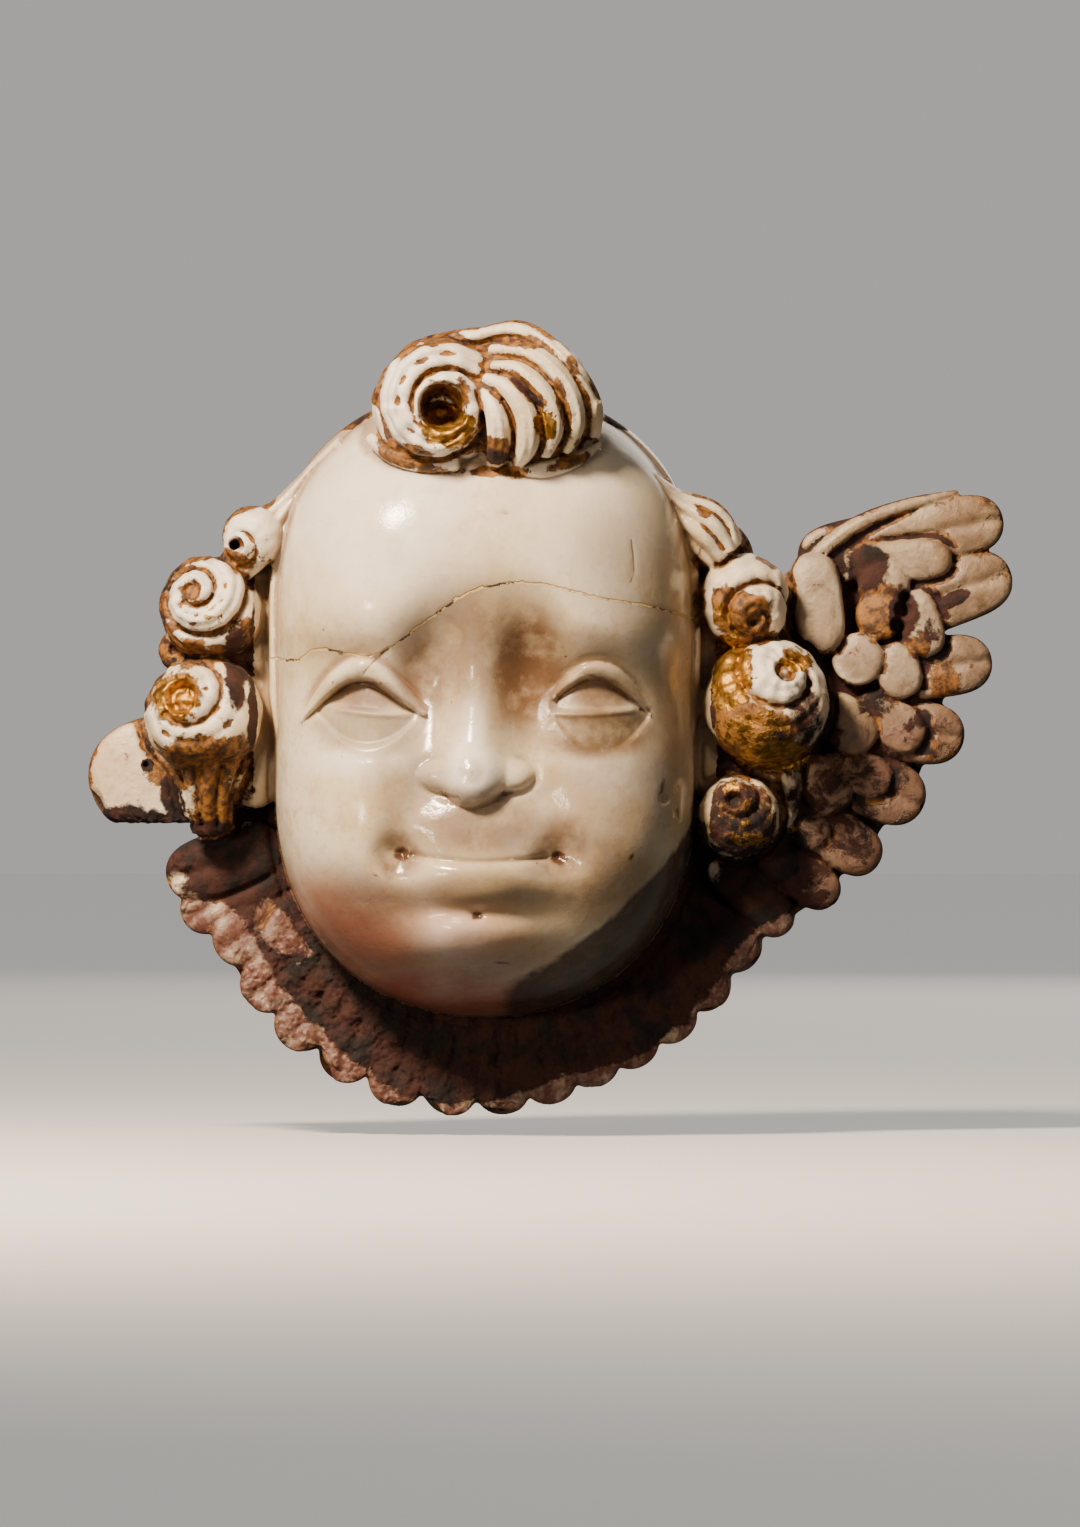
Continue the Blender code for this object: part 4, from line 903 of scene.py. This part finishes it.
# Painted highlights: high places where the light falls brightest, on the forehead, nose, cheeks, chin and
# curls, are painted paler; the nose's tip is also worn.
PAINTED_HIGHLIGHTS = [
    (-1.2, -6.4, 5.4, 5.4, 0.9), (27, -6.4, 9, 5, 0.6, -8), (-24, -4.6, 11, 3, 0.7), (-22, 44, 20, 18, 0.7),
    (-9, 67, 13, 13, 0.9), (-54, 28, 10, 10, 0.7), (60.4, 14, 9, 6, 0.9), (-57, 7, 9, 6, 0.5),
    (-5, -39, 7, 4, 0.7), (-1.2, 3, 2.4, 8, 0.7), (20, 44, 16, 14, 0.5), (-45, 40, 8, 8, 0.7),
]
amber_and_shade = np.maximum.reduce([
    patches(AMBER_AND_SHADE),
    0.45 * hair_zone * smooth(-0.1, 0.6, recess_near),
    on_wing * (0.65 + 0.15 * smooth(25, -5, z)) * smooth(-1.4, -0.1, recess_near),
    0.82 * on_wing * smooth(84, 94, x) * smooth(6, 14, z),
])
hair_crack = np.minimum(np.abs(branch_away), np.abs(short_away))
CARRIED = {
    "remains_and_shade": (gold, earth, dark),
    "painted_light_and_stain_casts": (patches(REDDISH_LIGHT), jaw_shade_and_stain, amber_and_shade),
    "marks": (np.clip(crack_away, -4, 4), np.clip(0.5 + recess_near / 3, 0, 1), head_zone),
    "tones": (patches(OLIVE), mauve, patches(PAINTED_HIGHLIGHTS)),
    "spots": (patches(BROWN_SPOTS_AND_NOSTRIL_SHADE), patches(DULL), np.clip(hair_crack, 0, 4)),
}

# Taking the skin down to fewer facets, where it is smooth, then sawing the back flat.
stone_mesh.polygons.foreach_set("use_smooth", np.ones(len(stone_mesh.polygons), bool))
dense = placed("dense_skin", stone_mesh)
dense.modifiers.new("take_down", "DECIMATE").ratio = FACETS / (2 * len(stone_mesh.polygons))
carved_mesh = made_mesh(dense)
carved_mesh.name = "cherub_carving"
carving = placed("cherub_carving", carved_mesh)

work = bmesh.new()
work.from_mesh(carved_mesh)
everything = work.verts[:] + work.edges[:] + work.faces[:]
bmesh.ops.bisect_plane(work, geom=everything, plane_co=(0, 0, 0), plane_no=(0, 1, 0), clear_outer=True)
rim_edges = [e for e in work.edges if e.is_boundary]
filled = bmesh.ops.triangle_fill(work, edges=rim_edges, use_beauty=True, normal=(0, 1, 0))
for back_face in (f for f in filled["geom"] if isinstance(f, bmesh.types.BMFace)):
    back_face.smooth = False
    if back_face.normal.y < 0:
        back_face.normal_flip()
bmesh.ops.triangulate(work, faces=[f for f in work.faces if len(f.verts) > 3])
work.to_mesh(carved_mesh)
work.free()

finder = KDTree(count)
for k, place in enumerate(worked):
    finder.insert(place, k)
finder.balance()
nearest = np.array([finder.find(v.co / MM)[1] for v in carved_mesh.vertices])
for name, channels in CARRIED.items():
    stored = carved_mesh.attributes.new(name, "FLOAT_VECTOR", "POINT")
    stored.data.foreach_set("vector", np.stack([c[nearest] for c in channels], axis=1).ravel())


# Polished alabaster with remains of gilding.
# Fine gypsum stone, rubbed smooth and waxed: light sinks a little into it, so it looks soft and warm, with
# a dull gloss. Leaf gold shines in flakes over matt earth colour, and grime and painted shade are dark and
# dull.


def colour(code):
    """An sRGB hex value as a linear colour."""
    parts = [int(code[k : k + 2], 16) / 255 for k in (0, 2, 4)]
    return [p / 12.92 if p <= 0.04045 else ((p + 0.055) / 1.055) ** 2.4 for p in parts] + [1.0]


def feed(taker, inputs):
    """Gives a node its inputs, by name or number, as values or as links."""
    for key, value in dict(inputs).items():
        if isinstance(value, bpy.types.NodeSocket):
            tree.links.new(value, taker.inputs[key])
        else:
            taker.inputs[key].default_value = value


def node(kind, inputs=(), output=0, **settings):
    """Adds a node to the tree in hand, with its settings and inputs, and gives one of its outputs."""
    new = tree.nodes.new(kind)
    for setting, value in settings.items():
        setattr(new, setting, value)
    feed(new, inputs)
    return new.outputs[output]


def share(*parts):
    """Its parts multiplied: numbers, outputs, or a pattern with the two levels between which it comes in."""
    product = 1.0
    for part in parts:
        if isinstance(part, tuple):
            part = node("ShaderNodeMapRange", enumerate(part), interpolation_type="SMOOTHSTEP")
        product = node("ShaderNodeMath", {0: product, 1: part}, operation="MULTIPLY")
    return product


def summed(start, *rows):
    """The start, plus each pattern times its amount."""
    for pattern, amount in rows:
        start = node("ShaderNodeMath", {0: pattern, 1: amount, 2: start}, operation="MULTIPLY_ADD")
    return start


def washed(under, tone, *parts):
    """A tone laid over what is there, as strongly as the parts multiplied."""
    over = colour(tone) if isinstance(tone, str) else tone
    return node("ShaderNodeMix", {0: share(*parts), 6: under, 7: over}, 2, data_type="RGBA")


def ragged(strength, edge, raggedness, pattern):
    """A patch with a flaked outline: the strength plus the pattern, cut off at a level."""
    even = node("ShaderNodeMapRange", {0: pattern, 1: 0.3, 2: 0.7})
    level = 0.5 + 0.5 * raggedness
    return share((summed(strength, (even, raggedness)), level - edge, level + edge))


def carried(name):
    """The three channels that the mesh carries under a name."""
    vector = node("ShaderNodeAttribute", (), "Vector", attribute_name=name)
    return [node("ShaderNodeSeparateXYZ", {0: vector}, axis) for axis in "XYZ"]


alabaster = bpy.data.materials.new("polished_alabaster")
alabaster.use_nodes = True
tree = alabaster.node_tree
here = node("ShaderNodeTexCoord", (), "Object")
gold_left, earth_left, grime_and_shade_left = carried("remains_and_shade")
reddish_light, jaw_shade_cast, amber_and_shade_cast = carried("painted_light_and_stain_casts")
from_crack, sunken, bare_skin = carried("marks")
olive_tone, mauve_tone, painted_highlight = carried("tones")
spots_and_nostril_shade, dulled, from_hair_crack = carried("spots")
unpolished = node("ShaderNodeMath", {0: 1.0, 1: bare_skin}, operation="SUBTRACT")

# Uneven patterns: the size of their grains in millimetres, then detail, roughness and distortion.
GRAINS = ((22, 4, 0.55, 0), (6, 6, 0.62, 0), (4.5, 8, 0.68, 0.4), (1.6, 5, 0.6, 0), (0.5, 2, 0.5, 0))
INPUTS = ("Vector", "Scale", "Detail", "Roughness", "Distortion")
cloud, mottle, flake, fine_flake, grain = (
    node("ShaderNodeTexNoise", zip(INPUTS, (here, 1 / (size * MM), *rest))) for size, *rest in GRAINS
)

# Ivory stone, clouded with ochre, then its pale and brown veins, painted highlights, the amber tone with its
# painted shade, olive and mauve tones, painted reddish light, and what has settled in it.
stone = washed(colour("EBDDC4"), "DCC8A2", (cloud, 0.35, 0.65))
for tone, *parts in (
    ("F1EADD", 0.6, (mottle, 0.5, 0.72)),
    ("BFA47A", 0.5, (mottle, 0.5, 0.3)),
    ("B89A70", 0.3, (fine_flake, 0.5, 0.7)),
    # Painted highlights, paler where the light falls brightest.
    ("FFFAF0", 0.75, painted_highlight),
    # Amber-brown: real staining, and painted shade around the eyes, nose and mouth.
    ("6C4728", amber_and_shade_cast, (mottle, 0.1, 0.55)),
    ("8E8468", 0.7, olive_tone),
    # Painted reddish light on the jaw.
    ("A8604C", reddish_light, (cloud, -0.1, 0.6)),
    ("6A4337", mauve_tone, (flake, 0.1, 0.55)),
    ("7A5028", 0.6, (sunken, 0.55, 0.95)),
    ("5A3A1E", 0.55, (flake, 0.48, 0.62), unpolished, amber_and_shade_cast),
):
    stone = washed(stone, tone, *parts)
# Painted shade on the right of the jaw, dark grey-brown, over some real staining.
jaw_shade_tone = washed(colour("2C1A12"), "5C4230", (flake, 0.5, 0.68))
stone = washed(stone, jaw_shade_tone, 0.84, ragged(jaw_shade_cast, 0.3, 0.35, mottle))
pores = node("ShaderNodeTexVoronoi", {"Vector": here, "Scale": 1 / (5.2 * MM)}, "Distance")
pore = share((pores, 0.075, 0.03), (flake, 0.5, 0.6))
stone = washed(stone, "5B4026", 0.75, pore)

# Earth colour, grime with its painted shade, and leaf gold over the stone, in flakes, and the face's brown
# spots over all.
earth_patch = ragged(earth_left, 0.09, 0.8, flake)
dark_patch = ragged(grime_and_shade_left, 0.12, 0.7, flake)
gold_patch = ragged(gold_left, 0.08, 0.8, fine_flake)
skin = washed(stone, washed(colour("946226"), "4E3016", (fine_flake, 0.38, 0.62)), earth_patch)
# Grime and the painted shade carried with it, near black-brown.
skin = washed(skin, washed(colour("3A180E"), "140604", (mottle, 0.4, 0.62)), dark_patch)
skin = washed(skin, washed(colour("CF9C48"), "8C6328", (fine_flake, 0.4, 0.6)), gold_patch)
# Brown spots, and painted shade in the nostrils.
skin = washed(skin, "4A2818", 0.85, ragged(spots_and_nostril_shade, 0.25, 0.5, mottle))

# The crack wavers by the flakes' size. Its joint is filled with yellowed glue in places.
crack_line = from_crack
for pattern, sway in ((flake, 1.6), (fine_flake, 0.7)):
    uneven = node("ShaderNodeMath", {0: pattern, 1: 0.5}, operation="SUBTRACT")
    crack_line = summed(crack_line, (uneven, sway))
crack_mask = share((node("ShaderNodeMath", {0: crack_line}, operation="ABSOLUTE"), 0.3, 0.1), bare_skin)
crack_tone = washed(colour("E3C27E"), "3A2A1C", (flake, 0.5, 0.56))
skin = washed(skin, crack_tone, 0.9, crack_mask)
skin = washed(skin, "5A4028", 0.7, (from_hair_crack, 0.28, 0.1), bare_skin)

# How rough the waxed stone is, and what earth colour, grime with its painted shade, and gold make of it.
gloss = node("ShaderNodeMapRange", {0: mottle, 1: 0.3, 2: 0.7})
roughness = summed(0.1, (gloss, 0.13), (unpolished, 0.22), (dulled, 0.3))
for patch, its_roughness in ((earth_patch, 0.6), (dark_patch, 0.85), (gold_patch, 0.36)):
    roughness = node("ShaderNodeMix", {0: patch, 2: roughness, 3: its_roughness})

# Relief too fine for the mesh, in millimetres.
coated = node("ShaderNodeMath", {0: earth_patch, 1: dark_patch}, operation="MAXIMUM")
height = summed(
    0.0, (mottle, 0.14), (fine_flake, 0.05), (coated, 0.12), (gold_patch, 0.1),
    (share(fine_flake, coated), 0.35), (crack_mask, -0.45), (share(flake, unpolished), 0.55),
    (pore, -0.12), (grain, 0.02),
)

feed(tree.nodes["Principled BSDF"], {
    "Base Color": skin,
    "Roughness": roughness,
    "Metallic": share(0.8, gold_patch),
    "Normal": node("ShaderNodeBump", {"Height": height, "Distance": MM, "Strength": 0.8}),
    "IOR": 1.52,
    "Subsurface Weight": 0.14,
    "Subsurface Radius": (1.0, 0.7, 0.42),
    "Subsurface Scale": 0.003,
})

# The sawn back, bare stone gone dull and grey-brown with dust, with the saw's shallow strokes across it.
SAW_STROKE = 3.2
sawn = bpy.data.materials.new("sawn_alabaster")
sawn.use_nodes = True
tree = sawn.node_tree
here = node("ShaderNodeTexCoord", (), "Object")
strokes = node(
    "ShaderNodeTexWave",
    {0: here, "Scale": 1 / (SAW_STROKE * MM) / 6.3, "Distortion": 3.0, "Detail": 3.0, "Detail Scale": 1.2},
    "Fac", wave_type="BANDS", bands_direction="Z",
)
dust = node("ShaderNodeTexNoise", {"Vector": here, "Scale": 1 / (18 * MM), "Detail": 7.0, "Roughness": 0.6})
speck = node("ShaderNodeTexNoise", {"Vector": here, "Scale": 1 / (1.5 * MM), "Detail": 3.0})
bare = washed(colour("CFC1A6"), "A8967A", (dust, 0.35, 0.65))
bare = washed(bare, "8B7355", 0.5, (speck, 0.55, 0.7))
bare = washed(bare, "DDD2BC", 0.35, (strokes, 0.6, 0.95))
height = summed(share(0.25, speck), (strokes, 0.3))
raised = node("ShaderNodeBump", {"Height": height, "Distance": MM, "Strength": 0.6})
sawn_stone = {"Base Color": bare, "Roughness": 0.75, "IOR": 1.52, "Normal": raised}
feed(tree.nodes["Principled BSDF"], sawn_stone)

carved_mesh.materials.append(alabaster)
carved_mesh.materials.append(sawn)
for facet in carved_mesh.polygons:
    if all(carved_mesh.vertices[k].co.y > -1e-6 for k in facet.vertices):
        facet.material_index = 1
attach(carving, "root")
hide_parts("cherub_relief")


# The floor, lights and camera.
# Pale paper just below the relief. The lamps are a soft key from the upper left, two weak ones at the
# left and right, and one behind for the sawn back.

PAPER = "DAD8D4"
FLOOR_HALF = 6.0
floor_z = cad_box[0][2] - 0.004
floor_mesh = bpy.data.meshes.new("floor")
corners = [(FLOOR_HALF * a, FLOOR_HALF * b, floor_z) for a, b in ((-1, -1), (1, -1), (1, 1), (-1, 1))]
floor_mesh.from_pydata(corners, [], [(0, 1, 2, 3)])
floor = placed("floor", floor_mesh)
paper = bpy.data.materials.new("pale_paper")
paper.use_nodes = True
tree = paper.node_tree
# The floor glows a little, so that it stays pale, but throws no light back on the relief.
glow = {"Emission Color": colour(PAPER), "Emission Strength": 0.5}
feed(tree.nodes["Principled BSDF"], {"Base Color": colour(PAPER), "Roughness": 0.9, **glow})
floor_mesh.materials.append(paper)
floor.visible_diffuse = False
floor.visible_glossy = False

# The backdrop looks pale, but gives the relief only a weak even light, so its hollows stay dark.
world = bpy.data.worlds.new("studio")
bpy.context.scene.world = world
world.use_nodes = True
tree = world.node_tree
seen = node("ShaderNodeLightPath", (), "Is Camera Ray")
strength = node("ShaderNodeMapRange", {0: seen, 3: 0.12, 4: 0.62})
feed(tree.nodes["Background"], {"Color": colour(PAPER), "Strength": strength})

looked_at = Vector((0.012, -0.018, -0.0047))
LAMPS = {
    "behind": ((0.5, 1.5, 0.7), 1.0, 7.0, "FFF2E2"),
    "key": ((-0.28, -0.46, 0.44), 0.12, 13.0, "FFE6C8"),
    "side": ((-0.55, -0.75, 0.02), 0.1, 2.4, "FFE6C8"),
    "fill": ((0.9, -1.2, 0.0), 0.8, 3.0, "FFE6C8"),
}
for name, (place, size, power, tint) in LAMPS.items():
    lamp = bpy.data.lights.new(name, "AREA")
    lamp.size, lamp.energy, lamp.color = size, power, colour(tint)[:3]
    holder = placed(name, lamp)
    holder.location = place
    holder.rotation_euler = (looked_at - Vector(place)).to_track_quat("-Z", "Y").to_euler()

DISTANCE = 2.5
SENSOR = 36
FRAME_HEIGHT = 0.3054
camera = placed("camera", bpy.data.cameras.new("camera"))
camera.location = looked_at + Vector((0, -DISTANCE, 0))
camera.rotation_euler = (math.pi / 2, 0, 0)
camera.data.sensor_width = SENSOR
camera.data.sensor_fit = "AUTO"
camera.data.lens = SENSOR * DISTANCE / FRAME_HEIGHT
bpy.context.scene.camera = camera
